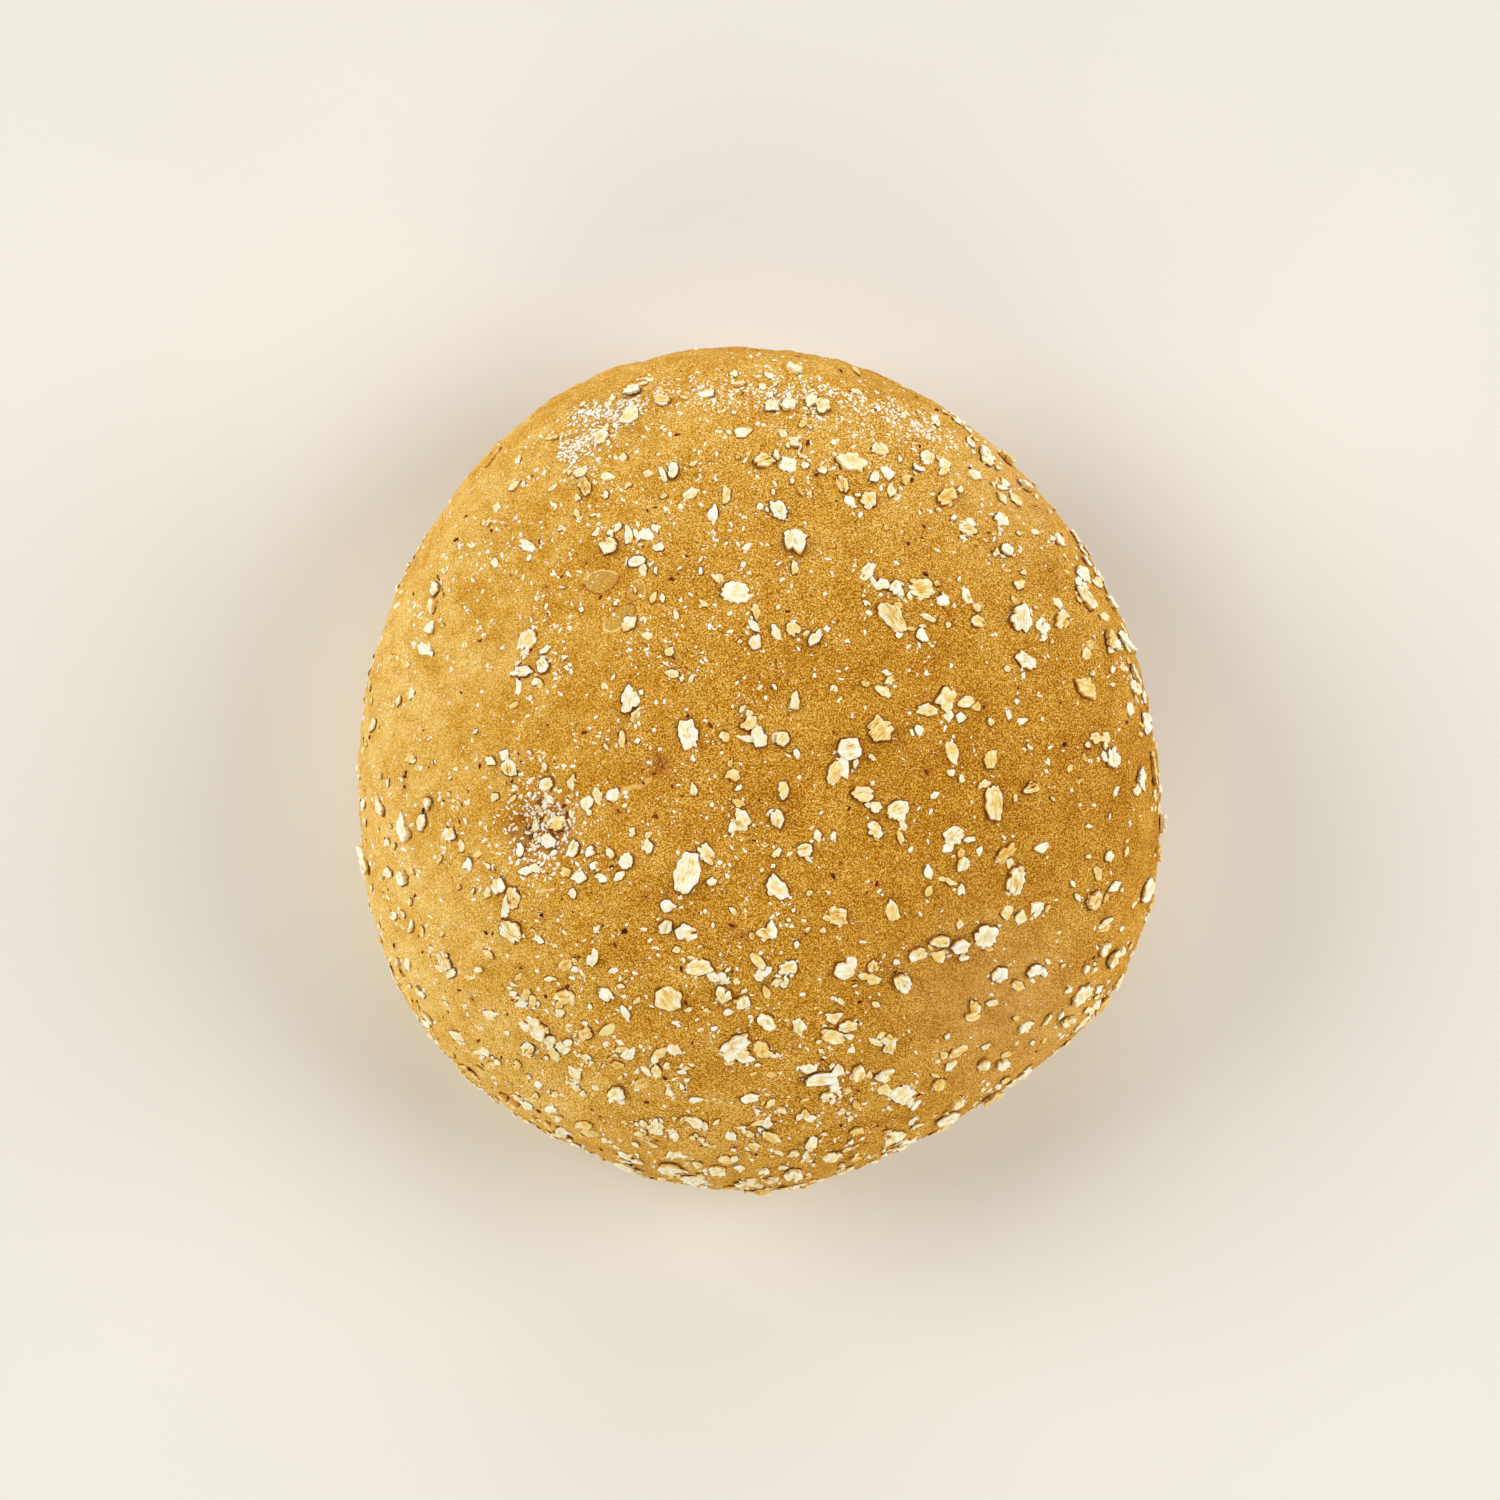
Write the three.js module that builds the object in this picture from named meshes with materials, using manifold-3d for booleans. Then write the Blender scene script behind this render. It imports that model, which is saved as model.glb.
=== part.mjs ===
// A round rye loaf with rolled-oat flakes baked onto its crust.
// Millimetres, +Z up. The origin is the middle of the loaf's box, at the level it rests on.

import * as THREE from "three";
import { mergeVertices } from "three/addons/utils/BufferGeometryUtils.js";
import Module from "manifold-3d";

// Loaf
const LOAF_DIAMETER = 174.5; // mean width of the outline from above
const LOAF_HEIGHT = 76;
const WAIST_HEIGHT = 25; // mean level of the widest outline
const WAIST_RISE = 4; // how much higher the waist is on its high side
const WAIST_HIGH_TURN = 60; // degrees round from +X
const UNDERSIDE_DEPTH = 41; // depth of the rounded underside below the waist, before the base is cut flat
const FULLNESS = 0.92; // 1 makes the side view an ellipse, less makes its shoulders fuller
const CRUST_SPLITS = 13; // splits of each icosahedron edge

// Outline from above: waves of the radius round the loaf, with the turn of a peak in degrees
const OUTLINE_MIDDLE = new THREE.Vector2(-1.1, -0.6);
const OUTLINE_WAVES = [
  { count: 2, share: 0.017, peak: 91 },
  { count: 3, share: 0.023, peak: 106 },
  { count: 4, share: 0.006, peak: 71 },
  { count: 5, share: 0.0095, peak: 51 },
  { count: 6, share: 0.0055, peak: 35 },
  { count: 7, share: 0.0045, peak: 18 },
];

// Gentle unevenness of the whole crust: plane waves through the unit sphere
const SWELL_HEIGHT = 0.45;
const SWELL_WAVES = [
  { along: new THREE.Vector3(5.1, 1.7, 2.3), phase: 0.4 },
  { along: new THREE.Vector3(-2.2, 5.6, 1.1), phase: 2.1 },
  { along: new THREE.Vector3(1.3, -3.9, 5.4), phase: 4.0 },
];

// Hollows in the top, as seen from above
const PIT = { at: new THREE.Vector2(-45.5, -12), radius: 7, depth: 3.4 };
const DENT = { at: new THREE.Vector2(-20.5, 1.3), radius: 3.6, depth: 1.2 };
const CREASE_FROM = new THREE.Vector2(-40, -8.5);
const CREASE_TO = new THREE.Vector2(-23, 0);
const CREASE_RADIUS = 2.4;
const CREASE_DEPTH = 0.6;

// The flakes that stand out, as seen from above: x, y, length, width, turn in degrees
const LARGEST_FLAKES = [
  [-15, -20.5, 7.8, 5, 75],
  [48, -6.5, 7.2, 4.2, 95],
  [27, 32, 7.2, 3.3, 130],
  [12.5, -64, 7, 2.8, 5],
  [-5, -56, 7, 3, 28],
  [-47, -53, 6.2, 4.8, 150],
  [-5, 36.5, 6, 4.5, 10],
  [-19, -46.5, 6, 5, 120],
  [-26.5, 14.5, 5.6, 3.4, 80],
  [7, 47.5, 5.5, 4.3, 105],
  [19, 64.5, 5.5, 4.2, 150],
  [53, -22.5, 5.5, 4, 75],
  [-12.5, -40, 5.5, 3.2, 10],
  [-14.5, 7.5, 5.3, 3.8, 100],
  [3.5, -24, 5.2, 4, 130],
  [-51, -33, 5.2, 3.6, 140],
  [-74.5, -12, 5.2, 3, 120],
  [54, 31.5, 5, 4.6, 90],
  [67, 17, 5, 4.2, 170],
  [-43, -11, 5, 3, 10],
  [38.5, 15, 4.8, 4, 70],
  [24.5, 8.5, 4.8, 4.4, 45],
  [15.5, -29.5, 4.8, 4.4, 0],
  [47, -34.5, 4.8, 4.2, 60],
  [29.5, -67.5, 4.8, 4.4, 20],
  [18, 4.5, 4.7, 4.4, 0],
  [33.5, 37.5, 4.6, 4.4, 0],
  [28, -8.5, 4.6, 3.8, 30],
  [-47.5, 27, 4.6, 3, 60],
  [43.5, 50.5, 4.4, 3.4, 0],
];

// The other flakes, ever smaller, are thrown by seeded chance
const FLAKE_COUNT = 200;
const FLAKE_TOP_SIZE = 6.2; // mean width that the falling sizes start from
const FLAKE_SIZE_FALL = 0.064; // sizes fall with the square root of the flake's number
const FLAKE_LONGEST_ASPECT = 1.9;
const FLAKE_SPACING = 0.55; // least distance of two flakes, as a share of their added widths
const FLAKE_LOWEST = 9; // no flake's middle lies lower
const FLAKE_SEED = 28;
const BARE_TURN = 150; // degrees round from +X to the side with the fewest flakes
const BARE_SPREAD = 65;
const BARE_SHARE = 0.8; // share of the flakes that this side lacks
const FLAKE_LOWEST_RISE = -0.15; // on the unit sphere, where the flakes have died out
const FLAKE_FULL_RISE = 1.2; // and where they would lie most densely, past the top

// The first of them lie along the loaf's lower edge on the right and in front
const EDGE_FLAKE_COUNT = 28;
const EDGE_TURN = -45; // degrees round from +X to where they lie most densely
const EDGE_SPREAD = 70;
const EDGE_RISE = 0.2; // on the unit sphere
const EDGE_RISE_SPREAD = 0.16;

// Each flake is an uneven prism, sunk in the crust
const FLAKE_PROUD = 1; // height of its top over the crust
const FLAKE_SUNK = 1.5;
const FLAKE_TAPER = 0.82; // its top's width as a share of its foot's
const FLAKE_FEWEST_SIDES = 5;
const FLAKE_MOST_SIDES = 6;
const FLAKE_CORNER_REACH = 1.2; // corners lie outside the flake's oval, so that it covers as much
const FLAKE_CORNER_PLAY = 0.22; // how far a corner lies in or out, as a share of its reach
const FLAKE_TILT = 10; // degrees

const CRUST_COLOUR = 0xca953a;
const CRUST_ROUGHNESS = 0.75;
const MERGE_DISTANCE = 1e-4;
const NORMAL_STEP = 1e-3; // on the unit sphere
const TRIM_BOX_SIZE = 300;
const UP = new THREE.Vector3(0, 0, 1);

const radians = THREE.MathUtils.degToRad;
const draw = THREE.MathUtils.seededRandom;

const wasm = await Module();
wasm.setup();

function toSolid(geometry) {
  geometry.deleteAttribute("normal");
  geometry.deleteAttribute("uv");
  const merged = mergeVertices(geometry, MERGE_DISTANCE);
  const vertProperties = new Float32Array(merged.attributes.position.array);
  const triVerts = new Uint32Array(merged.index.array);
  return new wasm.Manifold(new wasm.Mesh({ numProp: 3, vertProperties, triVerts }));
}

function toGeometry(solid) {
  const mesh = solid.getMesh();
  const geometry = new THREE.BufferGeometry();
  geometry.setAttribute("position", new THREE.BufferAttribute(mesh.vertProperties, mesh.numProp));
  geometry.setIndex(new THREE.BufferAttribute(mesh.triVerts, 1));
  geometry.computeVertexNormals();
  return geometry;
}

function bell(value) {
  return Math.exp(-(value ** 2));
}

function outlineRadius(turn) {
  let share = 1;
  for (const wave of OUTLINE_WAVES) {
    share += wave.share * Math.cos(wave.count * (turn - radians(wave.peak)));
  }
  return (LOAF_DIAMETER / 2) * share;
}

function hollowAt(distance, radius, depth) {
  return depth * bell(distance / radius);
}

function creaseDistance(place) {
  const along = CREASE_TO.clone().sub(CREASE_FROM);
  const share = place.clone().sub(CREASE_FROM).dot(along) / along.lengthSq();
  const nearest = CREASE_FROM.clone().addScaledVector(along, THREE.MathUtils.clamp(share, 0, 1));
  return place.distanceTo(nearest);
}

// How far the crust stands out from the plain form, for a place seen from above
function relief(direction, place) {
  let height = 0;
  for (const wave of SWELL_WAVES) {
    height += SWELL_HEIGHT * Math.sin(wave.along.dot(direction) + wave.phase);
  }
  if (direction.z > 0) {
    for (const hollow of [PIT, DENT]) {
      height -= hollowAt(place.distanceTo(hollow.at), hollow.radius, hollow.depth);
    }
    height -= hollowAt(creaseDistance(place), CREASE_RADIUS, CREASE_DEPTH);
  }
  return height;
}

// The crust's point for a direction of the unit sphere
function crustPoint(direction) {
  const turn = Math.atan2(direction.y, direction.x);
  const reach = outlineRadius(turn) * Math.hypot(direction.x, direction.y) ** FULLNESS;
  const place = new THREE.Vector2(Math.cos(turn), Math.sin(turn)).multiplyScalar(reach).add(OUTLINE_MIDDLE);
  const waist = WAIST_HEIGHT + WAIST_RISE * Math.cos(turn - radians(WAIST_HIGH_TURN));
  const depth = direction.z > 0 ? LOAF_HEIGHT - waist : UNDERSIDE_DEPTH;
  const level = waist + Math.sign(direction.z) * depth * Math.abs(direction.z) ** FULLNESS;
  return new THREE.Vector3(place.x, place.y, level).addScaledVector(direction, relief(direction, place));
}

// The direction whose point lies at a place seen from above
function directionOver(x, y) {
  const turn = Math.atan2(y - OUTLINE_MIDDLE.y, x - OUTLINE_MIDDLE.x);
  const share = Math.hypot(x - OUTLINE_MIDDLE.x, y - OUTLINE_MIDDLE.y) / outlineRadius(turn);
  const reach = share ** (1 / FULLNESS);
  return new THREE.Vector3(reach * Math.cos(turn), reach * Math.sin(turn), Math.sqrt(1 - reach * reach));
}

function crustNormal(direction) {
  const aside = new THREE.Vector3(1, 0, 0).cross(direction).normalize();
  const across = direction.clone().cross(aside);
  const point = crustPoint(direction);
  const first = crustPoint(direction.clone().addScaledVector(aside, NORMAL_STEP).normalize()).sub(point);
  const second = crustPoint(direction.clone().addScaledVector(across, NORMAL_STEP).normalize()).sub(point);
  return first.cross(second).normalize();
}

// How near a direction is to a turn in degrees: 1 there, dying out past the spread
function nearTurn(direction, degrees, spread) {
  const turn = Math.atan2(direction.y, direction.x);
  return bell(Math.acos(Math.cos(turn - radians(degrees))) / radians(spread));
}

// Chance that a flake which falls here sticks
function flakeChance(direction) {
  const bare = BARE_SHARE * nearTurn(direction, BARE_TURN, BARE_SPREAD);
  return (1 - bare) * THREE.MathUtils.smoothstep(direction.z, FLAKE_LOWEST_RISE, FLAKE_FULL_RISE);
}

// The same for a flake of the lower edge
function edgeChance(direction) {
  return nearTurn(direction, EDGE_TURN, EDGE_SPREAD) * bell((direction.z - EDGE_RISE) / EDGE_RISE_SPREAD);
}

function hasRoom(point, size, flakes) {
  return flakes.every((other) => {
    return point.distanceTo(other.point) > FLAKE_SPACING * (size + other.size);
  });
}

function drawDirection() {
  const rise = THREE.MathUtils.lerp(FLAKE_LOWEST_RISE, 1, draw());
  const turn = 2 * Math.PI * draw();
  const reach = Math.sqrt(1 - rise * rise);
  return new THREE.Vector3(reach * Math.cos(turn), reach * Math.sin(turn), rise);
}

function throwFlake(size, chance, flakes) {
  for (;;) {
    const direction = drawDirection();
    const sticks = draw() < chance(direction);
    const point = crustPoint(direction);
    if (sticks && point.z > FLAKE_LOWEST && hasRoom(point, size, flakes)) {
      const stretch = Math.sqrt(THREE.MathUtils.lerp(1, FLAKE_LONGEST_ASPECT, draw()));
      const turn = 2 * Math.PI * draw();
      return { direction, point, size, length: size * stretch, width: size / stretch, turn };
    }
  }
}

function layFlakes() {
  draw(FLAKE_SEED);
  const flakes = LARGEST_FLAKES.map(([x, y, length, width, degrees]) => {
    const direction = directionOver(x, y);
    const size = Math.sqrt(length * width);
    return { direction, point: crustPoint(direction), size, length, width, turn: radians(degrees) };
  });
  while (flakes.length < FLAKE_COUNT) {
    const size = FLAKE_TOP_SIZE * Math.exp(-FLAKE_SIZE_FALL * Math.sqrt(flakes.length));
    const atEdge = flakes.length < LARGEST_FLAKES.length + EDGE_FLAKE_COUNT;
    flakes.push(throwFlake(size, atEdge ? edgeChance : flakeChance, flakes));
  }
  return flakes;
}

function drawCorner() {
  return FLAKE_CORNER_REACH * (1 + FLAKE_CORNER_PLAY * (2 * draw() - 1));
}

function drawTilt() {
  return radians(FLAKE_TILT) * (2 * draw() - 1);
}

function flakeSolid(flake) {
  const sides = FLAKE_FEWEST_SIDES + Math.floor((FLAKE_MOST_SIDES + 1 - FLAKE_FEWEST_SIDES) * draw());
  const corners = Array.from({ length: sides }, drawCorner);
  const geometry = new THREE.CylinderGeometry(FLAKE_TAPER, 1, FLAKE_PROUD + FLAKE_SUNK, sides);
  const position = geometry.attributes.position;
  for (let i = 0; i < position.count; i += 1) {
    const turn = Math.atan2(position.getX(i), position.getZ(i));
    const play = corners[(Math.round((turn * sides) / (2 * Math.PI)) + sides) % sides];
    position.setX(i, position.getX(i) * play * (flake.length / 2));
    position.setZ(i, position.getZ(i) * play * (flake.width / 2));
  }
  geometry.rotateX(Math.PI / 2);
  geometry.translate(0, 0, (FLAKE_PROUD - FLAKE_SUNK) / 2);
  const place = new THREE.Quaternion().setFromUnitVectors(UP, crustNormal(flake.direction));
  place.multiply(new THREE.Quaternion().setFromAxisAngle(UP, flake.turn));
  place.multiply(new THREE.Quaternion().setFromEuler(new THREE.Euler(drawTilt(), drawTilt(), 0)));
  geometry.applyQuaternion(place);
  geometry.translate(flake.point.x, flake.point.y, flake.point.z);
  return toSolid(geometry);
}

// The bare loaf, cut flat where it lay in the oven
function bareLoaf() {
  const geometry = new THREE.IcosahedronGeometry(1, CRUST_SPLITS);
  const position = geometry.attributes.position;
  const direction = new THREE.Vector3();
  for (let i = 0; i < position.count; i += 1) {
    const point = crustPoint(direction.fromBufferAttribute(position, i).normalize());
    position.setXYZ(i, point.x, point.y, point.z);
  }
  const below = new THREE.BoxGeometry(TRIM_BOX_SIZE, TRIM_BOX_SIZE, TRIM_BOX_SIZE);
  below.translate(0, 0, -TRIM_BOX_SIZE / 2);
  return toSolid(geometry).subtract(toSolid(below));
}

function loafWithFlakes() {
  const flakes = layFlakes();
  return flakes.reduce((loaf, flake) => loaf.add(flakeSolid(flake)), bareLoaf());
}

function loafMesh() {
  const material = new THREE.MeshStandardMaterial({
    color: CRUST_COLOUR,
    roughness: CRUST_ROUGHNESS,
    metalness: 0,
  });
  const mesh = new THREE.Mesh(toGeometry(loafWithFlakes()), material);
  mesh.name = "loaf";
  return mesh;
}

const ryeBread = new THREE.Group();
ryeBread.add(loafMesh());

export default ryeBread;
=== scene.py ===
"""Looks of a round rye loaf strewn with oat flakes, crumbs and flour, with its stage and camera.

Sizes are in millimetres and turn into metres where a mesh is made. The loaf's form, the seeded
draws and the flakes' places are those of the solid that the crust replaces.
"""

import functools
import itertools
import math
import bpy
import numpy as np
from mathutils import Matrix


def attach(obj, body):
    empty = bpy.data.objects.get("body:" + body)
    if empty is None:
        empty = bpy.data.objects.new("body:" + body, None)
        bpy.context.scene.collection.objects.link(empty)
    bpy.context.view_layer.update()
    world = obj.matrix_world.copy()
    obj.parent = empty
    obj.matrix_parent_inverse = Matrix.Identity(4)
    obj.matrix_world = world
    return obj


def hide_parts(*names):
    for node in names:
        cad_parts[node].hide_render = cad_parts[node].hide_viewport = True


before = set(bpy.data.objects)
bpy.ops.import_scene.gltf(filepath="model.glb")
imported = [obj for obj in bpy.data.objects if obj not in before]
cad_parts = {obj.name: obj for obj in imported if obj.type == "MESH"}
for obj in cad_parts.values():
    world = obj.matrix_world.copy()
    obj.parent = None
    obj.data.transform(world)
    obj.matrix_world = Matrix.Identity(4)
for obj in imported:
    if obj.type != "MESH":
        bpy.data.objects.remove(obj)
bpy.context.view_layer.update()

MM = 0.001
FULL_TURN = 360

# Form of the loaf, as in the solid
LOAF_DIAMETER = 174.5
LOAF_HEIGHT = 76
WAIST_HEIGHT = 25
WAIST_RISE = 4
WAIST_HIGH_TURN = 60
UNDERSIDE_DEPTH = 41
FULLNESS = 0.92
OUTLINE_MIDDLE = np.array([-1.1, -0.6])
OUTLINE_WAVES = [
    (2, 0.017, 91),
    (3, 0.023, 106),
    (4, 0.006, 71),
    (5, 0.0095, 51),
    (6, 0.0055, 35),
    (7, 0.0045, 18),
]
SWELL_HEIGHT = 0.45
SWELL_WAVES = [
    ((5.1, 1.7, 2.3), 0.4),
    ((-2.2, 5.6, 1.1), 2.1),
    ((1.3, -3.9, 5.4), 4.0),
]
PIT_AT = np.array([-45.5, -12])
PIT_RADIUS = 7
PIT_DEPTH = 3.4
DENT_AT = np.array([-20.5, 1.3])
DENT_RADIUS = 3.6
DENT_DEPTH = 1.2
CREASE_FROM = np.array([-40, -8.5])
CREASE_TO = np.array([-23, 0])
CREASE_RADIUS = 2.4
CREASE_DEPTH = 0.6

# Flakes, as in the solid: x, y, length, width, turn in degrees of those that stand out
LARGEST_FLAKES = [
    (-15, -20.5, 7.8, 5, 75),
    (48, -6.5, 7.2, 4.2, 95),
    (27, 32, 7.2, 3.3, 130),
    (12.5, -64, 7, 2.8, 5),
    (-5, -56, 7, 3, 28),
    (-47, -53, 6.2, 4.8, 150),
    (-5, 36.5, 6, 4.5, 10),
    (-19, -46.5, 6, 5, 120),
    (-26.5, 14.5, 5.6, 3.4, 80),
    (7, 47.5, 5.5, 4.3, 105),
    (19, 64.5, 5.5, 4.2, 150),
    (53, -22.5, 5.5, 4, 75),
    (-12.5, -40, 5.5, 3.2, 10),
    (-14.5, 7.5, 5.3, 3.8, 100),
    (3.5, -24, 5.2, 4, 130),
    (-51, -33, 5.2, 3.6, 140),
    (-74.5, -12, 5.2, 3, 120),
    (54, 31.5, 5, 4.6, 90),
    (67, 17, 5, 4.2, 170),
    (-43, -11, 5, 3, 10),
    (38.5, 15, 4.8, 4, 70),
    (24.5, 8.5, 4.8, 4.4, 45),
    (15.5, -29.5, 4.8, 4.4, 0),
    (47, -34.5, 4.8, 4.2, 60),
    (29.5, -67.5, 4.8, 4.4, 20),
    (18, 4.5, 4.7, 4.4, 0),
    (33.5, 37.5, 4.6, 4.4, 0),
    (28, -8.5, 4.6, 3.8, 30),
    (-47.5, 27, 4.6, 3, 60),
    (43.5, 50.5, 4.4, 3.4, 0),
]
FLAKE_COUNT = 200
FLAKE_TOP_SIZE = 6.2
FLAKE_SIZE_FALL = 0.064
FLAKE_LONGEST_ASPECT = 1.9
FLAKE_SPACING = 0.55
FLAKE_LOWEST = 9
FLAKE_SEED = 28
BARE_TURN = 150
BARE_SPREAD = 65
BARE_SHARE = 0.8
FLAKE_LOWEST_RISE = -0.15
FLAKE_FULL_RISE = 1.2
EDGE_FLAKE_COUNT = 28
EDGE_TURN = -45
EDGE_SPREAD = 70
EDGE_RISE = 0.2
EDGE_RISE_SPREAD = 0.16
FLAKE_PROUD = 1
FLAKE_FEWEST_SIDES = 5
FLAKE_MOST_SIDES = 6
FLAKE_CORNER_REACH = 1.2
FLAKE_CORNER_PLAY = 0.22
FLAKE_TILT = 10
NORMAL_STEP = 1e-3

# Fine relief of the crust: length and height of each layer of waves
ROUGHNESS_LAYERS = [(11, 0.16), (4.5, 0.09), (2.2, 0.06), (1.3, 0.035)]
WAVE_COUNT = 28
WAVE_SEED = 5
WAVE_LENGTH_RANGE = (0.7, 1.4)
BLOTCH_LENGTH = 16
BLOTCH_SWING = 0.03
CLUMP_LENGTH = 8
CRAG_LENGTH = 3
CRAG_HEIGHT = 0.6

# Marks in the crust: blisters as x, y, half length, half width, turn and the turn of the rim's painted
# highlight, thin cracks, and a crease beside the dent with a painted highlight along its ridge
BLISTERS = [
    (-32.7, 38.9, 3.7, 2.3, 15, 85),
    (-25.5, 37, 2.3, 1.8, 50, 0),
    (-28.7, 31.5, 3.9, 1.9, 40, 200),
]
BLISTER_RIM_WIDTH = 0.12
BLISTER_RIM_HEIGHT = 0.2
BLISTER_RIM_BREAKS = (-1, 0.6)
BLISTER_SINK = 0.15
BLISTER_SINK_REACH = (0.85, 1)
OPEN_CRACKS = [
    [(-67.3, 41.2), (-66.7, 39), (-65.8, 36.5)],
    [(-21.3, 3.6), (-20.4, 2.4), (-20, 0.2)],
]
HAIRLINES = [
    [(36.6, 38.9), (37.7, 33.9), (40.1, 30)],
    [(-58, 64.2), (-55.8, 66.5), (-54.5, 68.2)],
]
CRACK_WIDTH = 0.3
CRACK_DEPTH = 0.3
# Crease with a raised ridge that carries a painted highlight
HIGHLIT_CREASES = [[(-22.5, -1.4), (-24.5, -3.2), (-27.4, -3.7), (-29.4, -5.7)]]
HIGHLIT_CREASE_WIDTH = 0.55
PALE_CREASE_HEIGHT = 0.25

# Sphere that meshes start from: corners of one face of an icosahedron lie 2 apart, others farther
FACE_EDGE_LIMIT = 2.1
MERGE_DIGITS = 6

# Mesh of the crust: crowded on top, and most of all about its marks, given as x, y and reach
CRUST_SPLITS = 96
TOP_CROWDING = 0.3
FOCUSES = [
    (-45.5, -12, 12),
    (-29.5, 35.5, 9),
    (-66.6, 39, 5),
    (38, 34, 8),
    (-56.1, 66.3, 5),
    (-23, -0.5, 7),
]
FOCUS_PULL = 0.8
BAKED_POLAR_SHARES = (0, 0.7, 1)
BAKED_RADII = (0, 0.43, 0.495)
WIDEST_BAKED_TRIANGLE = 0.1

# Colours as display values, which turn into linear ones by the usual curve
DISPLAY_TOP = 255
DISPLAY_KNEE = 0.04045
DISPLAY_SLOPE = 12.92
DISPLAY_OFFSET = 0.055
DISPLAY_POWER = 2.4

# The crust from its brownest tone to its palest, its marks, and what lies on it
CRUST_TONES = [
    (0.0, (138, 76, 4)),
    (0.25, (181, 120, 14)),
    (0.45, (206, 150, 38)),
    (0.7, (230, 187, 96)),
    (1.0, (250, 222, 150)),
]
ROSY_TONES = [
    (0.0, (160, 104, 40)),
    (0.25, (192, 138, 62)),
    (0.45, (208, 157, 82)),
    (1.0, (236, 200, 136)),
]
# Rusty brown of stains, hairline cracks and the foot, also used for painted shade in the pit, the dent and
# the blisters' rims
RUST_AND_SHADE_COLOUR = (158, 78, 12)
DARK_COLOUR = (84, 34, 6)
DUST_COLOUR = (246, 228, 186)
SKIN_COLOUR = (206, 162, 80)
# Painted highlight on one side of each blister's rim
RIM_HIGHLIGHT_COLOUR = (246, 214, 140)
# Painted highlight along the crease's ridge
CREASE_HIGHLIGHT_COLOUR = (228, 184, 98)
OAT_TONES = [
    (0.0, (252, 251, 241)),
    (0.3, (247, 239, 206)),
    (0.55, (244, 211, 126)),
    (0.8, (216, 158, 66)),
    (1.0, (104, 62, 16)),
]
# Colours of the collar round each flake and crumb: painted contact shade, with some browning of the crust
# at the plate's foot
COLLAR_SHADE_COLOURS = [(0.35, (110, 62, 14)), (0.65, (162, 98, 26))]
FLOUR_COLOURS = [(0.3, (248, 230, 190)), (0.45, (253, 246, 230)), (0.7, (255, 254, 250))]
BRAN_COLOURS = [(0.3, (70, 20, 6)), (0.7, (134, 50, 14))]
FLOOR_COLOURS = [(0.3, (232, 230, 226)), (0.7, (236, 234, 230))]

# Where the crust is pale, and patches as x, y, radius and how much browner they are
PALE_TURN = 172
PALE_LEAST = 0.37
PALE_SIDE_GAIN = 0.26
PALE_SIDE_REACH = (0.1, 1)
PALE_RIM_GAIN = 0.03
PALE_RIM_REACH = (0.45, 0.85)
PALE_FOOT_GAIN = 0.14
PALE_FOOT_LEVELS = (0.2, 0.8)
TONE_PATCHES = [
    (30, 0, 28, 0.055),
    (50, -16, 16, 0.05),
    (77, 0, 19, 0.09),
    (14, -66, 20, 0.01),
    (37, -46, 9, 0.05),
    (-57, -4, 10, 0.08),
    (34, 63, 22, -0.02),
    (50, 66, 16, -0.15),
    (0, 86, 26, -0.09),
    (4, 46, 22, -0.05),
    (-72, -36, 16, -0.11),
    (-42, -66, 18, -0.17),
    (-12, -84, 14, -0.15),
    (62, -50, 12, -0.06),
    (-58, 36, 14, 0.05),
]
BASE_BROWNING = 0.6
BASE_BROWNING_HEIGHT = 2.5
ROSY_PLACES = [(50, -48, 20, 0.7), (55, 62, 16, 0.45)]
CALM_TURN = 165
CALM_SIDE_REACH = (0, 0.9)
CALM_RIM_SHARE = 0.6
CALM_RIM_REACH = (0.85, 1)

# Painted shade in the pit and the dent, brown and dark, and rusty stains about some of the bran
CRAG_RANGE = (-0.6, 1)
PIT_BROWN_SHADE = 0.75
CRAG_SHADE_LOSS = 0.6
DENT_BROWN_SHADE = 0.7
DENT_SHADE_REACH = 0.6
STAIN_RUST = 0.5
STAIN_RADIUS = 1.1
PIT_SHADE = 0.5
PIT_SHADE_RANGE = (1.2, 2)

# Grain of the finishes: sizes in millimetres and swings of the tone
# A range of four numbers is drawn out from its first two to its last two
NOISE_RANGE = (0.3, 0.7)
NOISE_MIDDLE = 0.5
FULL_DETAIL = 2
LOW_DETAIL = 1
NO_DETAIL = 0
SOFT_NOISE = 0.5
ROUGH_NOISE = 0.6
CRUST_FINE_SIZE = 0.33
CRUST_FINE_SWING = 0.44
CRUST_GRAIN_SIZE = 0.7
CRUST_GRAIN_SWING = 0.1
CRUST_MOTTLE_SIZE = 4
CRUST_MOTTLE_SWING = 0.05
CALM_GRAIN_SHARE = 0.6
CALM_MOTTLE_GAIN = 0.06
DUST_SIZE = 0.45
DUST_GAIN = 0.12
DUST_RANGE = (0.82, 0.88, 0, 0.9)
BLISTER_WOBBLE_SIZE = 1.2
BLISTER_WOBBLE = 0.08
BLISTER_BREAK_SIZE = 1.6
BLISTER_BREAKS = (0.35, 0.5, 0.5, 1)
BLISTER_LINE = (0.02, 0.1, 1, 0)
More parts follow.
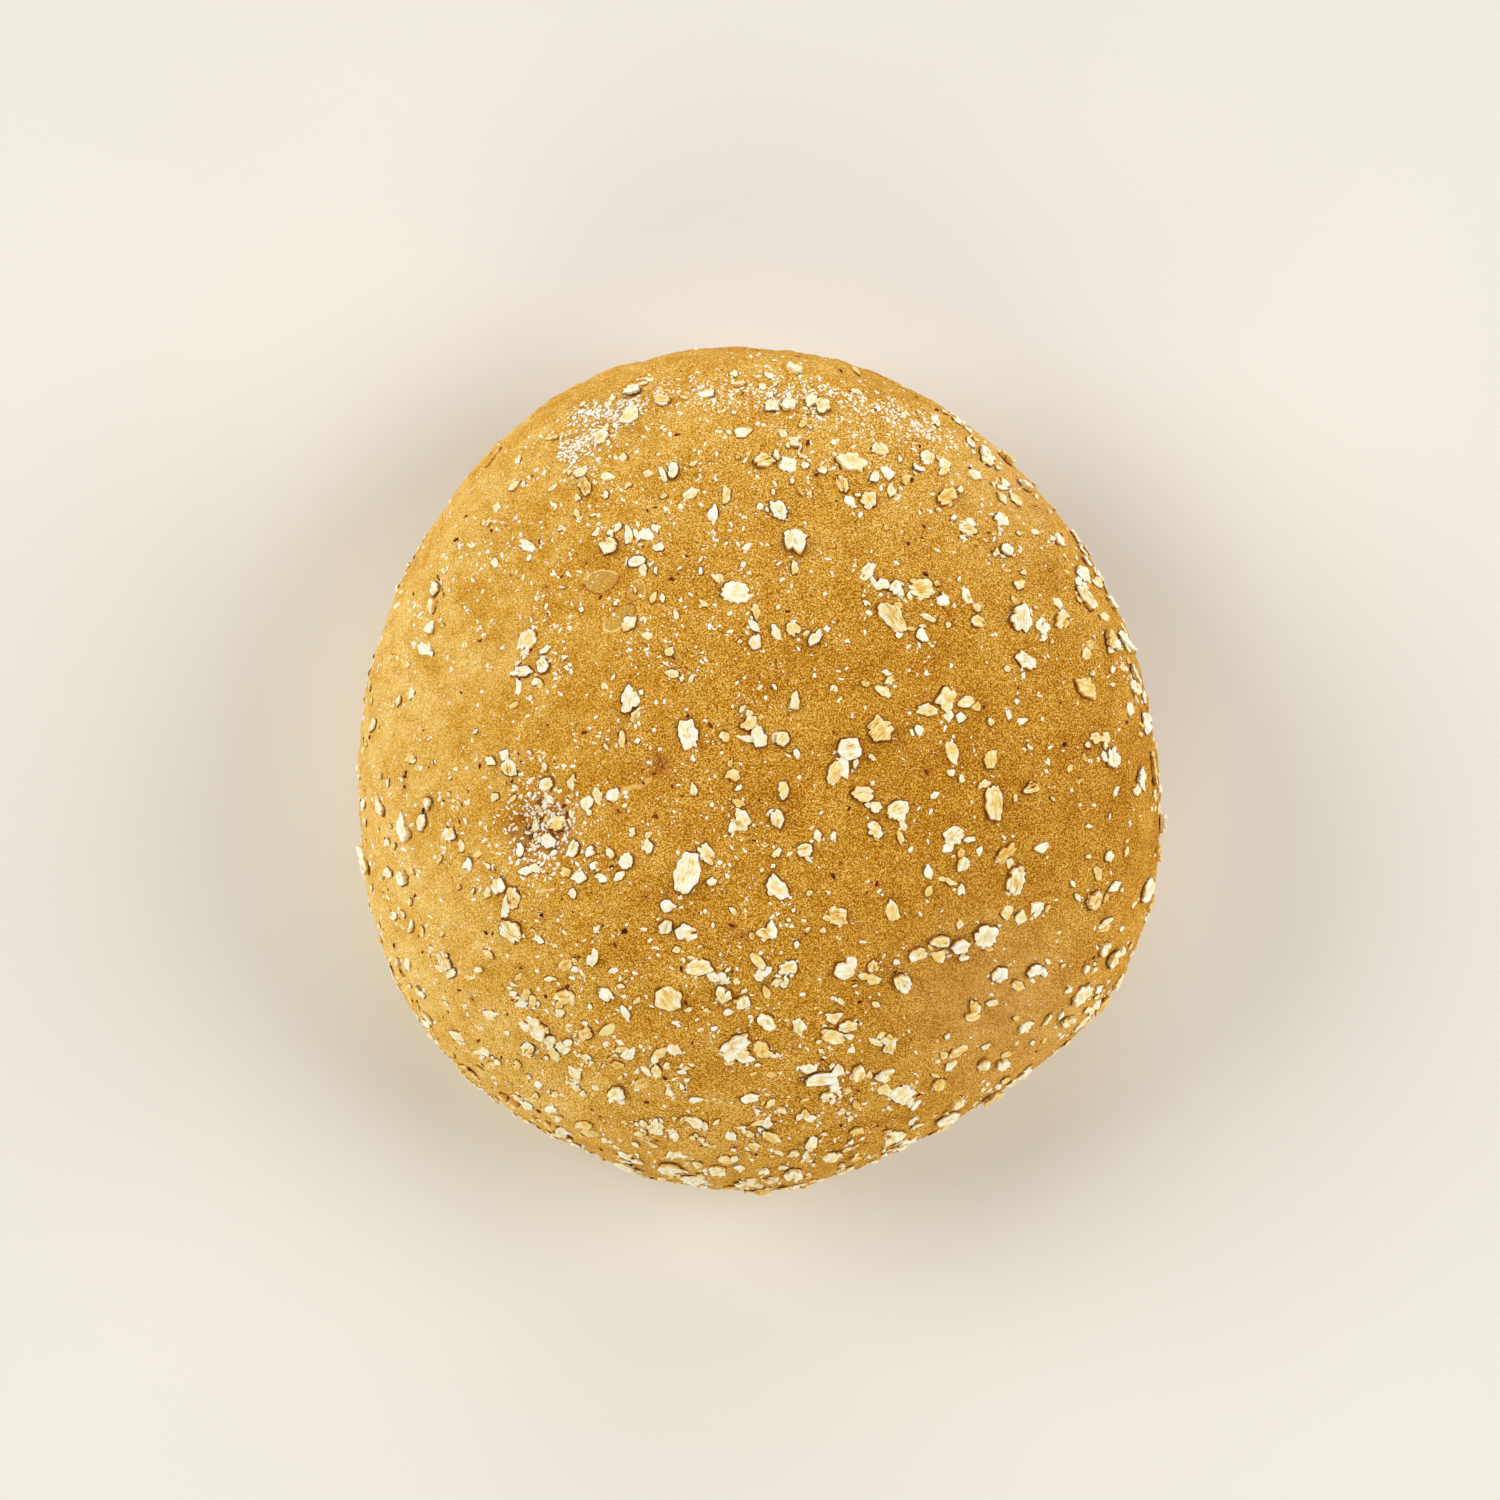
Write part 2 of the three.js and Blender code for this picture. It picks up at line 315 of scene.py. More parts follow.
# Sides of each blister's rim: a painted highlight on one, painted shade on the other
BLISTER_LIT_SIDE = (0.1, 0.6)
BLISTER_SHADED_SIDE = (0, 0.3, 0.85, 0)
BLISTER_SKIN = (0.85, 1, 0.5, 0)
CRACK_WANDER_SIZE = 2.5
CRACK_WANDER = 0.9
CRACK_BREAK_SIZE = 1.3
CRACK_BREAKS = (0.35, 0.5, 0.25, 1)
CRACK_CORE = 0.4
OAT_VEIN_SIZE = 0.5
OAT_VEIN_SWING = 0.24
OAT_VEIN_STRETCH = (0.3, 1, 1)
OAT_PATCH_SIZE = 1.7
OAT_PATCH_SWING = 0.25
OAT_CRACK_SIZE = 1.3
OAT_CRACK_STRETCH = (0.28, 1.5, 1)
OAT_CRACK_SHARE = 0.042
OAT_CRACK_TONE = 0.5
OAT_GOLDEN = 0.42
OAT_BROWNEST = 0.74
COLLAR_SHADE_PATCH_SIZE = 2
FLOUR_CLOUD_SIZE = 1.5
BRAN_CLOUD_SIZE = 2
FLOOR_CLOUD_SIZE = 120

# Sheen of the finishes: strength and height of the bump, range of the roughness, specular level
CRUST_BUMP = (0.5, 0.25)
CRUST_ROUGHNESS = (0.65, 0.82)
CRUST_SPECULAR = 0.12
OAT_BUMP = (0.5, 0.15)
OAT_ROUGHNESS = (0.65, 0.8)
OAT_SPECULAR = 0.15
SPECK_BUMP = (0.2, 0.1)
SPECK_ROUGHNESS = (0.7, 0.85)
SPECK_SPECULAR = 0.12

# All that is strewn on the crust, with patches as x, y, radius and how much barer they are
STREWN_LOWEST_RISE = -0.55
STREWN_FULL_RISE = 0.1
STREWN_BATCH = 4000
STREWN_LEAST = 0.35
STREWN_CLUMP_GAIN = 1.3
STREWN_CLUMPS = (-0.4, 1.4)
STREWN_PATCHES = [
    (50, -42, 24, 0.9),
    (-20, 15, 14, 0.45),
    (-60, 20, 18, 0.35),
    (58, 12, 18, -0.6),
    (17, -66, 14, -1.2),
]
SMALL_SIZE_BIAS = 1.3
NEAR_SPREAD = 4
PIT_SPREAD = 5.5
STREWN_SEED = 23

# Band of flour along the far edge, and the plain strip outside it
BAND_TURN = 91
BAND_HALF_SPREAD = (24, 36)
BAND_REACH = 0.875
BAND_WIDTH = 0.05
PLAIN_TURN = 112
PLAIN_SPREAD = 55
PLAIN_REACH = (0.93, 0.96)
PLAIN_RISE = (-0.2, 0)

# Oat crumbs, and where they lie thinner or thicker
CRUMB_COUNT = 930
CRUMBS_NEAR_FLAKES = 330
CRUMBS_IN_PIT = 24
PIT_CRUMB_SHRINK = 0.6
CRUMB_SIZES = (1.0, 3.2)
CRUMB_MOST_ASPECT = 2.2
CRUMB_FEWEST_SIDES = 4
CRUMB_MOST_SIDES = 6
CRUMB_CORNERS = (0.65, 1.5)
CRUMB_TILT = 9
CRUMB_BARE_TURN = 0
CRUMB_BARE_SPREAD = 50
CRUMB_BARE_SHARE = 0.35
CRUMB_MIDDLE_SHARE = 0.7
CRUMB_MIDDLE_REACH = (0.2, 0.5)
CRUMB_FRONT_GAIN = 1.9
CRUMB_FRONT_TURN = 252
CRUMB_FRONT_SPREAD = 38
CRUMB_FRONT_REACH = (0.45, 0.9)
CRUMB_EDGE_GAIN = 1
CRUMB_EDGE_TURN = -85
CRUMB_EDGE_SPREAD = 70
CRUMB_EDGE_RISE = 0.3
CRUMB_BAND_GAIN = 0.3

# Flour grit, and its clumps as x, y, spread and count, the densest first
GRIT_COUNT = 3300
GRIT_NEAR_FLAKES = 500
GRIT_IN_PIT = 420
GRIT_SIZES = (0.38, 1.15)
GRIT_MOST_ASPECT = 2.4
GRIT_UNEVENNESS = (0.6, 1.4)
GRIT_FLATNESS = 0.6
GRIT_TILT = 10
GRIT_LEAST = 0.08
GRIT_TURN = 135
GRIT_SPREAD = 80
GRIT_FRONT_GAIN = 0.5
GRIT_FRONT_TURN = 255
GRIT_FRONT_SPREAD = 48
GRIT_BAND_GAIN = 2.6
GRIT_BAND_SHRINK = 0.3
GRIT_CLUMPS = [
    (-38, 67, 2.2, 100),
    (-33.5, 69, 2.4, 64),
    (-34, 74, 2.6, 88),
    (-28, 74.5, 2.8, 100),
    (-10, 78, 5, 70),
    (4, 78, 6, 60),
    (16, 78, 5, 80),
    (28, 75, 5, 120),
    (36, 72, 4, 70),
]
GRIT_CLUMP_SIZES = (0.48, 0.9)
DENSE_CLUMPS = 4
CLUMP_BED_SHADE = 0.28
CLUMP_BED_REACH = 1.5

# Bran specks, of which some have a rusty stain about them
BRAN_COUNT = 380
BRAN_SIZES = (0.5, 1.3)
BRAN_FLATNESS = 0.4
BRAN_LEAST = 0.25
BRAN_TURN = 215
BRAN_SPREAD = 85
BRAN_WITH_STAIN = 60

# Meshes of the plates: flakes and crumbs
FLAKE_SEGMENTS = 48
FLAKE_TOP_RINGS = (0.25, 0.48, 0.68, 0.84, 0.94)
FLAKE_FOOT = -0.8
FLAKE_COLLAR = 0.36
FLAKE_TONES = (1.2, 3.4)
CRUMB_SEGMENTS = 18
CRUMB_TOP_RINGS = (0.75,)
CRUMB_FOOT = -0.4
CRUMB_COLLAR = 0.25
CRUMB_PROUD = 0.5
CRUMB_TONES = (1.15, 3.4)
PLATE_SEED = 11
FLAKE_RIM_SHARE = 0.97
PLATE_STRAIGHTNESS = 0.72
RAGGED_WAVES = range(3, 14)
RAGGED_PART = 0.055
MOST_NOTCHES = 5
NOTCH_WIDTHS = (0.09, 0.3)
NOTCH_DEPTHS = (0.08, 0.34)
LUMP_COUNT = 5
LUMP_HEIGHT = 0.075
LUMP_WAVES = 2.2
PLATE_LEVELS = (0.8, 1.25)
PLATE_CUPPING = (-0.3, 0.4)
PLATE_EDGE_DROP = 0.25
LEDGE_DEPTHS = (0, 0.5)
LEDGE_WIDTH = 0.12
LEDGE_SPREAD = 0.6
FURROW_DEPTHS = (0, 0.5)
FURROW_WIDTH = 0.4
FURROW_BENDS = (-0.1, 0.1)
TAN_MIDDLE = 0.34
TAN_EDGE_SHARE = 0.6
RIM_LEVEL = 0.85
UNDERCUT_SHARE = 0.88
UNDERCUT_LEVEL = 0.1
# Browning of the walls under each plate's rim: painted warm shade, with some toasting of the edge
UNDERCUT_SHADE_TAN = 0.5
RIM_SHADE_TAN = 0.22
COLLAR_STEEP_SHARE = 0.4
COLLAR_LIFT = 0.06
COLLAR_SUNK = -0.3
COLLAR_LEAST_RIM = 0.15
COLLAR_SHADE_RANGE = (0.1, 0.3)
BAKED_PLATE_SHARE = 0.36
BAKED_GRAIN_SHARE = 0.3
GRAIN_SPACING = 40

# Floor: a disc that reaches far past the frame
FLOOR_RADIUS = 6000
FLOOR_SIDES = 96

# Camera: straight above, with the frame's width at the level of the base
CAMERA_AT = (-2.03, 4.34, 1133)
FRAME_WIDTH = 328

# Light: a studio with pale walls and a dim ceiling, and a soft far lamp on each side
# Each lamp as direction, strength and colour
WALL_COLOUR = (0.8, 0.79, 0.77, 1.0)
CEILING_COLOUR = (0.15, 0.148, 0.144, 1.0)
WALL_TOP = 0.1
CEILING_RISE = 0.6
PLAIN_LIGHT = (1.0, 0.98, 0.94)
COOL_LIGHT = (0.98, 0.98, 0.99)
WARM_LIGHT = (1.0, 0.9, 0.58)
LAMP_ANGLE = 40
LAMPS = {
    "key": ((-0.95, 0.3, 0.62), 1.72, PLAIN_LIGHT),
    "fill": ((0.95, 0.1, 0.62), 1.72, PLAIN_LIGHT),
    "back": ((0.1, 0.95, 0.55), 0.78, COOL_LIGHT),
    "front": ((-0.1, -0.95, 0.55), 0.86, WARM_LIGHT),
}


def bell(value):
    return np.exp(-(value**2))


def unit(vectors):
    return vectors / np.linalg.norm(vectors, axis=-1, keepdims=True)


def smoothstep(value, low, high):
    share = np.clip((value - low) / (high - low), 0, 1)
    return share * share * (3 - 2 * share)


def angle_between(turn, degrees):
    return np.arccos(np.cos(turn - np.radians(degrees)))


def heading(degrees):
    """Unit vector towards a side, seen from above."""
    return np.array([math.cos(math.radians(degrees)), math.sin(math.radians(degrees))])


def outline_radius(turn):
    share = 1.0
    for count, part, peak in OUTLINE_WAVES:
        share = share + part * np.cos(count * (turn - np.radians(peak)))
    return LOAF_DIAMETER / 2 * share


def distance_to(places, at):
    return np.linalg.norm(places - np.array(at), axis=1)


def patches(places, rows):
    """Sum of soft round patches, given as x, y, radius and strength in the middle."""
    return sum(strength * bell(distance_to(places, (x, y)) / radius) for x, y, radius, strength in rows)


def distance_to_line(places, start, end):
    start = np.array(start)
    along = np.array(end) - start
    share = np.clip((places - start) @ along / (along @ along), 0, 1)
    return np.linalg.norm(places - start - share[:, None] * along, axis=1)


def relief(directions, places):
    """How far the crust stands out from the plain form."""
    height = np.zeros(len(directions))
    for along, phase in SWELL_WAVES:
        height += SWELL_HEIGHT * np.sin(directions @ np.array(along) + phase)
    hollows = PIT_DEPTH * bell(distance_to(places, PIT_AT) / PIT_RADIUS)
    hollows += DENT_DEPTH * bell(distance_to(places, DENT_AT) / DENT_RADIUS)
    hollows += CREASE_DEPTH * bell(distance_to_line(places, CREASE_FROM, CREASE_TO) / CREASE_RADIUS)
    return height - np.where(directions[:, 2] > 0, hollows, 0)


def crust_points(directions):
    """The crust's points for directions of the unit sphere."""
    turn = np.arctan2(directions[:, 1], directions[:, 0])
    reach = outline_radius(turn) * np.hypot(directions[:, 0], directions[:, 1]) ** FULLNESS
    places = np.column_stack([np.cos(turn), np.sin(turn)]) * reach[:, None] + OUTLINE_MIDDLE
    rise = directions[:, 2]
    waist = WAIST_HEIGHT + WAIST_RISE * np.cos(turn - np.radians(WAIST_HIGH_TURN))
    depth = np.where(rise > 0, LOAF_HEIGHT - waist, UNDERSIDE_DEPTH)
    level = waist + np.sign(rise) * depth * np.abs(rise) ** FULLNESS
    return np.column_stack([places, level]) + directions * relief(directions, places)[:, None]


def directions_over(places):
    """The directions whose points lie at places seen from above."""
    offset = places - OUTLINE_MIDDLE
    turn = np.arctan2(offset[:, 1], offset[:, 0])
    reach = (np.hypot(offset[:, 0], offset[:, 1]) / outline_radius(turn)) ** (1 / FULLNESS)
    return np.column_stack([reach * np.cos(turn), reach * np.sin(turn), np.sqrt(1 - reach**2)])


def direction_at(x, y):
    return directions_over(np.array([[x, y]], float))


def crust_slopes(directions):
    """Vectors along the crust's normals, as long as the crust is stretched there from the unit sphere."""
    aside = unit(np.cross((1.0, 0.0, 0.0), directions))
    across = np.cross(directions, aside)
    points = crust_points(directions)
    first = crust_points(unit(directions + NORMAL_STEP * aside)) - points
    second = crust_points(unit(directions + NORMAL_STEP * across)) - points
    return np.cross(first, second) / NORMAL_STEP**2


class Draw:
    """The seeded generator that the solid's flakes are thrown with: 32-bit, one number a call."""

    MASK = 0xFFFFFFFF
    STEP = 0x6D2B79F5

    def __init__(self, seed):
        self.state = seed
        self()

    def __call__(self):
        self.state = (self.state + self.STEP) & self.MASK
        mixed = self.state
        mixed = ((mixed ^ mixed >> 15) * (mixed | 1)) & self.MASK
        mixed ^= (mixed + (mixed ^ mixed >> 7) * (mixed | 61)) & self.MASK
        return (mixed ^ mixed >> 14) / 2**32


def near_turn(turn, degrees, spread):
    """How near a turn is to another in degrees: 1 there, dying out past the spread."""
    return bell(angle_between(turn, degrees) / math.radians(spread))


def flake_chance(direction):
    turn = math.atan2(direction[1], direction[0])
    bare = BARE_SHARE * near_turn(turn, BARE_TURN, BARE_SPREAD)
    return (1 - bare) * smoothstep(direction[2], FLAKE_LOWEST_RISE, FLAKE_FULL_RISE)


def edge_chance(direction):
    """Chance that a flake of the lower edge sticks here."""
    turn = math.atan2(direction[1], direction[0])
    along = near_turn(turn, EDGE_TURN, EDGE_SPREAD)
    return along * bell((direction[2] - EDGE_RISE) / EDGE_RISE_SPREAD)


def has_room(point, size, flakes):
    return all(
        math.dist(point, other["point"]) > FLAKE_SPACING * (size + other["size"])
        for other in flakes
    )


def throw_flake(draw, size, chance, flakes):
    while True:
        rise = FLAKE_LOWEST_RISE + (1 - FLAKE_LOWEST_RISE) * draw()
        turn = math.tau * draw()
        reach = math.sqrt(1 - rise * rise)
        direction = np.array([reach * math.cos(turn), reach * math.sin(turn), rise])
        sticks = draw() < chance(direction)
        point = crust_points(direction[None])[0]
        if sticks and point[2] > FLAKE_LOWEST and has_room(point, size, flakes):
            stretch = math.sqrt(1 + (FLAKE_LONGEST_ASPECT - 1) * draw())
            return {
                "direction": direction,
                "point": point,
                "size": size,
                "length": size * stretch,
                "width": size / stretch,
                "turn": math.tau * draw(),
            }


def largest_flake(x, y, length, width, degrees):
    direction = direction_at(x, y)
    return {
        "direction": direction[0],
        "point": crust_points(direction)[0],
        "size": math.sqrt(length * width),
        "length": length,
        "width": width,
        "turn": math.radians(degrees),
    }


def lay_flakes():
    """The flakes of the solid, with the corners and tilts that it draws for them."""
    draw = Draw(FLAKE_SEED)
    flakes = [largest_flake(*row) for row in LARGEST_FLAKES]
    while len(flakes) < FLAKE_COUNT:
        size = FLAKE_TOP_SIZE * math.exp(-FLAKE_SIZE_FALL * math.sqrt(len(flakes)))
        at_edge = len(flakes) < len(LARGEST_FLAKES) + EDGE_FLAKE_COUNT
        flakes.append(throw_flake(draw, size, edge_chance if at_edge else flake_chance, flakes))
    for flake in flakes:
        sides = FLAKE_FEWEST_SIDES + math.floor((FLAKE_MOST_SIDES + 1 - FLAKE_FEWEST_SIDES) * draw())
        plays = [1 + FLAKE_CORNER_PLAY * (2 * draw() - 1) for _ in range(sides)]
        flake["corners"] = [FLAKE_CORNER_REACH * play for play in plays]
        flake["tilts"] = [math.radians(FLAKE_TILT) * (2 * draw() - 1) for _ in range(2)]
    return flakes


def upright_frames(normals):
    """For each normal the least turn that stands +Z on it, as a matrix of column vectors."""
    axis = np.cross((0.0, 0.0, 1.0), normals)
    cross = np.zeros((len(normals), 3, 3))
    cross[:, 0, 1], cross[:, 0, 2] = -axis[:, 2], axis[:, 1]
    cross[:, 1, 0], cross[:, 1, 2] = axis[:, 2], -axis[:, 0]
    cross[:, 2, 0], cross[:, 2, 1] = -axis[:, 1], axis[:, 0]
    return np.eye(3) + cross + cross @ cross / (1 + normals[:, 2])[:, None, None]


def turns(angles, axis):
    """Matrices that turn about X, Y or Z, given as axis 0, 1 or 2."""
    first, second = (axis + 1) % 3, (axis + 2) % 3
    matrices = np.tile(np.eye(3), (len(angles), 1, 1))
    matrices[:, first, first] = matrices[:, second, second] = np.cos(angles)
    matrices[:, second, first] = np.sin(angles)
    matrices[:, first, second] = -np.sin(angles)
    return matrices


class Waves:
    """A smooth random field: plane waves of about one length in all directions."""

    def __init__(self, rng, length):
        lengths = length * rng.uniform(*WAVE_LENGTH_RANGE, (WAVE_COUNT, 1))
        self.vectors = unit(rng.normal(size=(WAVE_COUNT, 3))) * math.tau / lengths
        self.phases = rng.uniform(0, math.tau, WAVE_COUNT)

    def __call__(self, points):
        """Values with a mean of 0 and a spread of about 1."""
        return np.sin(points @ self.vectors.T + self.phases).sum(axis=1) * math.sqrt(2 / WAVE_COUNT)


wave_rng = np.random.default_rng(WAVE_SEED)
ROUGHNESS = [(Waves(wave_rng, length), height) for length, height in ROUGHNESS_LAYERS]
BLOTCHES = Waves(wave_rng, BLOTCH_LENGTH)
CLUMPS = Waves(wave_rng, CLUMP_LENGTH)
CRAGS = Waves(wave_rng, CRAG_LENGTH)
RIM_BREAKS = ROUGHNESS[1][0]


def blister_reach(places, x, y, half_length, half_width, degrees, _):
    """Distance from a blister's middle, which is 1 at its rim."""
    along = heading(degrees)
    across = np.array([-along[1], along[0]])
    offset = places - (x, y)
    return np.hypot(offset @ along / half_length, offset @ across / half_width)


def blister_skin(places):
    return sum(1 - smoothstep(blister_reach(places, *row), *BLISTER_SINK_REACH) for row in BLISTERS)


def blister_rims(points):
    rims = sum(bell((blister_reach(points[:, :2], *row) - 1) / BLISTER_RIM_WIDTH) for row in BLISTERS)
    return rims * smoothstep(RIM_BREAKS(points), *BLISTER_RIM_BREAKS)


def crack_lines(cracks):
    """The straight lines that cracks are made of, each as its two ends."""
    return [line for crack in cracks for line in itertools.pairwise(crack)]


def crack_share(places, cracks, width):
    lines = crack_lines(cracks)
    return sum(bell(distance_to_line(places, *line) / width) for line in lines).clip(0, 1)


def pit_share(places):
    return bell((distance_to(places, PIT_AT) / PIT_RADIUS) ** 2)


def mark_heights(points):
    places = points[:, :2]
    height = -CRAG_HEIGHT * pit_share(places) * np.abs(CRAGS(points))
    height -= CRACK_DEPTH * crack_share(places, OPEN_CRACKS + HAIRLINES, CRACK_WIDTH)
    height += PALE_CREASE_HEIGHT * crack_share(places, HIGHLIT_CREASES, HIGHLIT_CREASE_WIDTH)
    height += BLISTER_RIM_HEIGHT * blister_rims(points)
    return height - BLISTER_SINK * blister_skin(places)


def detailed_points(directions):
    """The crust's points with its fine relief and marks, flat where the loaf rests."""
    points = crust_points(directions)
    fine = sum(height * waves(points) for waves, height in ROUGHNESS)
    fine += np.where(directions[:, 2] > 0, mark_heights(points), 0)
    points = points + directions * fine[:, None]
    points[:, 2] = np.maximum(points[:, 2], 0)
    return points


def icosphere(splits):
    """Unit sphere of triangles: an icosahedron whose edges are split evenly."""
    golden = (1 + math.sqrt(5)) / 2
    corners = [np.roll((0, a, b * golden), k) for k in range(3) for a in (-1, 1) for b in (-1, 1)]
    corners = np.array(corners, float)
    shares = [(i, j, splits - i - j) for i in range(splits + 1) for j in range(splits + 1 - i)]
    index = {share[:2]: n for n, share in enumerate(shares)}
    local = [(index[i, j], index[i + 1, j], index[i, j + 1]) for i, j, k in shares if k > 0]
    local += [(index[i + 1, j], index[i + 1, j + 1], index[i, j + 1]) for i, j, k in shares if k > 1]
    points, triangles = [], []
    for face in itertools.combinations(range(len(corners)), 3):
        a, b, c = corners[list(face)]
        if max(np.linalg.norm(a - b), np.linalg.norm(b - c), np.linalg.norm(c - a)) > FACE_EDGE_LIMIT:
            continue
        order = local if np.linalg.det((a, b, c)) > 0 else [t[::-1] for t in local]
        triangles.append(np.array(order) + len(points) * len(shares))
        points.append(np.array(shares) @ np.array([a, b, c]) / splits)
    points = unit(np.concatenate(points))
    rounded = np.round(points, MERGE_DIGITS)
    _, first, back = np.unique(rounded, axis=0, return_index=True, return_inverse=True)
    return points[first], back.reshape(-1)[np.concatenate(triangles)]


def spherical(rise, turn):
    reach = np.sqrt(1 - rise**2)
    return np.column_stack([reach * np.cos(turn), reach * np.sin(turn), rise])


def crowd(directions):
    """Moves the sphere's points towards the top and the marks, which show most."""
    polar = np.arccos(np.clip(directions[:, 2], -1, 1))
    polar -= TOP_CROWDING * np.sin(polar)
    directions = spherical(np.cos(polar), np.arctan2(directions[:, 1], directions[:, 0]))
    for x, y, reach in FOCUSES:
        offset = directions - direction_at(x, y)
        near = bell(np.linalg.norm(offset, axis=1) * LOAF_DIAMETER / 2 / reach)
        directions = unit(directions - FOCUS_PULL * near[:, None] * offset)
    return directions


def mesh_object(name, points, triangles, smooth, material, attributes, uv):
    """A mesh object from arrays, with numbers or vectors of each point as attributes."""
    mesh = bpy.data.meshes.new(name)
    mesh.from_pydata(points * MM, [], triangles)
    mesh.polygons.foreach_set("use_smooth", smooth)
    for key, values in attributes.items():
        kind, field = ("FLOAT", "value") if values.ndim == 1 else ("FLOAT_VECTOR", "vector")
        layer = mesh.attributes.new(key, kind, "POINT")
        layer.data.foreach_set(field, values.astype(np.float32).ravel())
    layer = mesh.uv_layers.new(name="OFBake")
    layer.data.foreach_set("uv", uv.astype(np.float32).ravel())
    mesh.materials.append(material)
    piece = bpy.data.objects.new(name, mesh)
    bpy.context.collection.objects.link(piece)
    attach(piece, "root")
    return piece


def srgb(colour):
    """Linear colour from display values."""
    values = np.array(colour) / DISPLAY_TOP
    curved = ((values + DISPLAY_OFFSET) / (1 + DISPLAY_OFFSET)) ** DISPLAY_POWER
    linear = np.where(values <= DISPLAY_KNEE, values / DISPLAY_SLOPE, curved)
    return (*linear, 1.0)


class Finish:
    """A material under construction, with short calls for the nodes that the finishes share."""

    def __init__(self, name):
        self.material = bpy.data.materials.new(name)
        self.material.use_nodes = True
        self.tree = self.material.node_tree
        self.shader = self.tree.nodes["Principled BSDF"]
        self.where = self.add("ShaderNodeTexCoord").outputs["Object"]

    def add(self, kind, inputs=None, **settings):
        node = self.tree.nodes.new(kind)
        for key, value in settings.items():
            setattr(node, key, value)
        for key, value in (inputs or {}).items():
            self.set(node.inputs[key], value)
        return node

    def set(self, socket, value):
        if isinstance(value, bpy.types.NodeSocket):
            self.tree.links.new(value, socket)
        else:
            socket.default_value = value

    def attribute(self, name, output="Fac"):
        return self.add("ShaderNodeAttribute", attribute_name=name).outputs[output]

    def stretched(self, vector, scale):
        return self.add("ShaderNodeMapping", {"Vector": vector, "Scale": scale}).outputs["Vector"]

    def noise(self, size, detail=FULL_DETAIL, roughness=SOFT_NOISE, where=None):
        """Noise of 0 to 1 with grains of about the size in millimetres."""
        inputs = {
            "Vector": where or self.where,
            "Scale": 1 / (size * MM),
            "Detail": detail,
            "Roughness": roughness,
        }
        return self.add("ShaderNodeTexNoise", inputs).outputs["Fac"]

    def swing(self, noise, amount):
        """Noise drawn out to plus and minus the amount."""
        return self.spread(noise, *NOISE_RANGE, -amount, amount)

    def total(self, first, *others):
        return functools.reduce(lambda a, b: self.math("ADD", a, b), others, first)

    def math(self, operation, first, second=0.0):
        return self.add("ShaderNodeMath", {0: first, 1: second}, operation=operation).outputs[0]

    def spread(self, value, low, high, to_low=0.0, to_high=1.0):
        """The value's range low to high, drawn out to another range and clipped."""
        inputs = {"Value": value, "From Min": low, "From Max": high, "To Min": to_low, "To Max": to_high}
        return self.add("ShaderNodeMapRange", inputs).outputs["Result"]

    def vector(self, operation, first, second=(0, 0, 0)):
        node = self.add("ShaderNodeVectorMath", {0: first, 1: second}, operation=operation)
        return next(socket for socket in node.outputs if socket.enabled)

    def from_above(self):
        return self.vector("MULTIPLY", self.where, (1, 1, 0))

    def wandering(self, amount, size):
        """Places seen from above, led astray by noise of the amount and size in millimetres."""
        inputs = {"Vector": self.where, "Scale": 1 / (size * MM)}
        noise = self.add("ShaderNodeTexNoise", inputs).outputs["Color"]
        astray = self.vector("SUBTRACT", noise, [NOISE_MIDDLE] * 3)
        astray = self.vector("MULTIPLY", astray, (2 * amount * MM, 2 * amount * MM, 0))
        return self.vector("ADD", self.from_above(), astray)

    def line_distance(self, places, start, end):
        """Distance in metres from a straight line between two places, seen from above."""
        start, end = (np.array([*place, 0.0]) * MM for place in (start, end))
        offset = self.vector("SUBTRACT", places, start)
        along = end - start
        share = self.spread(self.vector("DOT_PRODUCT", offset, along), 0, along @ along)
        return self.vector("DISTANCE", offset, self.vector("MULTIPLY", along, share))

    def oval(self, x, y, half_length, half_width, degrees):
        """Place within an oval, seen from above: its length is 1 at the rim."""
        inputs = {
            "Vector": self.from_above(),
            "Location": (x * MM, y * MM, 0),
            "Rotation": (0, 0, math.radians(degrees)),
            "Scale": (half_length * MM, half_width * MM, 1),
        }
        return self.add("ShaderNodeMapping", inputs, vector_type="TEXTURE").outputs["Vector"]

    def ramp(self, value, tones):
        node = self.add("ShaderNodeValToRGB", {"Fac": value})
        elements = node.color_ramp.elements
        while len(elements) < len(tones):
            elements.new(0.5)
        for element, (position, colour) in zip(elements, tones):
            element.position = position
            element.color = srgb(colour)
        return node.outputs["Color"]

    def mix(self, share, first, second):
        node = self.add("ShaderNodeMix", data_type="RGBA")
        values = [socket for socket in node.inputs if socket.type == "VALUE"]
        factor = next(socket for socket in values if socket.name == "Factor")
        a, b = [socket for socket in node.inputs if socket.type == "RGBA"]
        self.set(factor, share)
        self.set(a, first)
        self.set(b, second)
        return next(socket for socket in node.outputs if socket.type == "RGBA")

    def bump(self, height, strength, distance):
        inputs = {"Height": height, "Strength": strength, "Distance": distance * MM}
        return self.add("ShaderNodeBump", inputs).outputs["Normal"]

    def shade(self, colour, normal, roughness, specular):
        self.set(self.shader.inputs["Base Color"], colour)
        self.set(self.shader.inputs["Normal"], normal)
        self.set(self.shader.inputs["Roughness"], roughness)
        self.set(self.shader.inputs["Specular IOR Level"], specular)
        return self.material


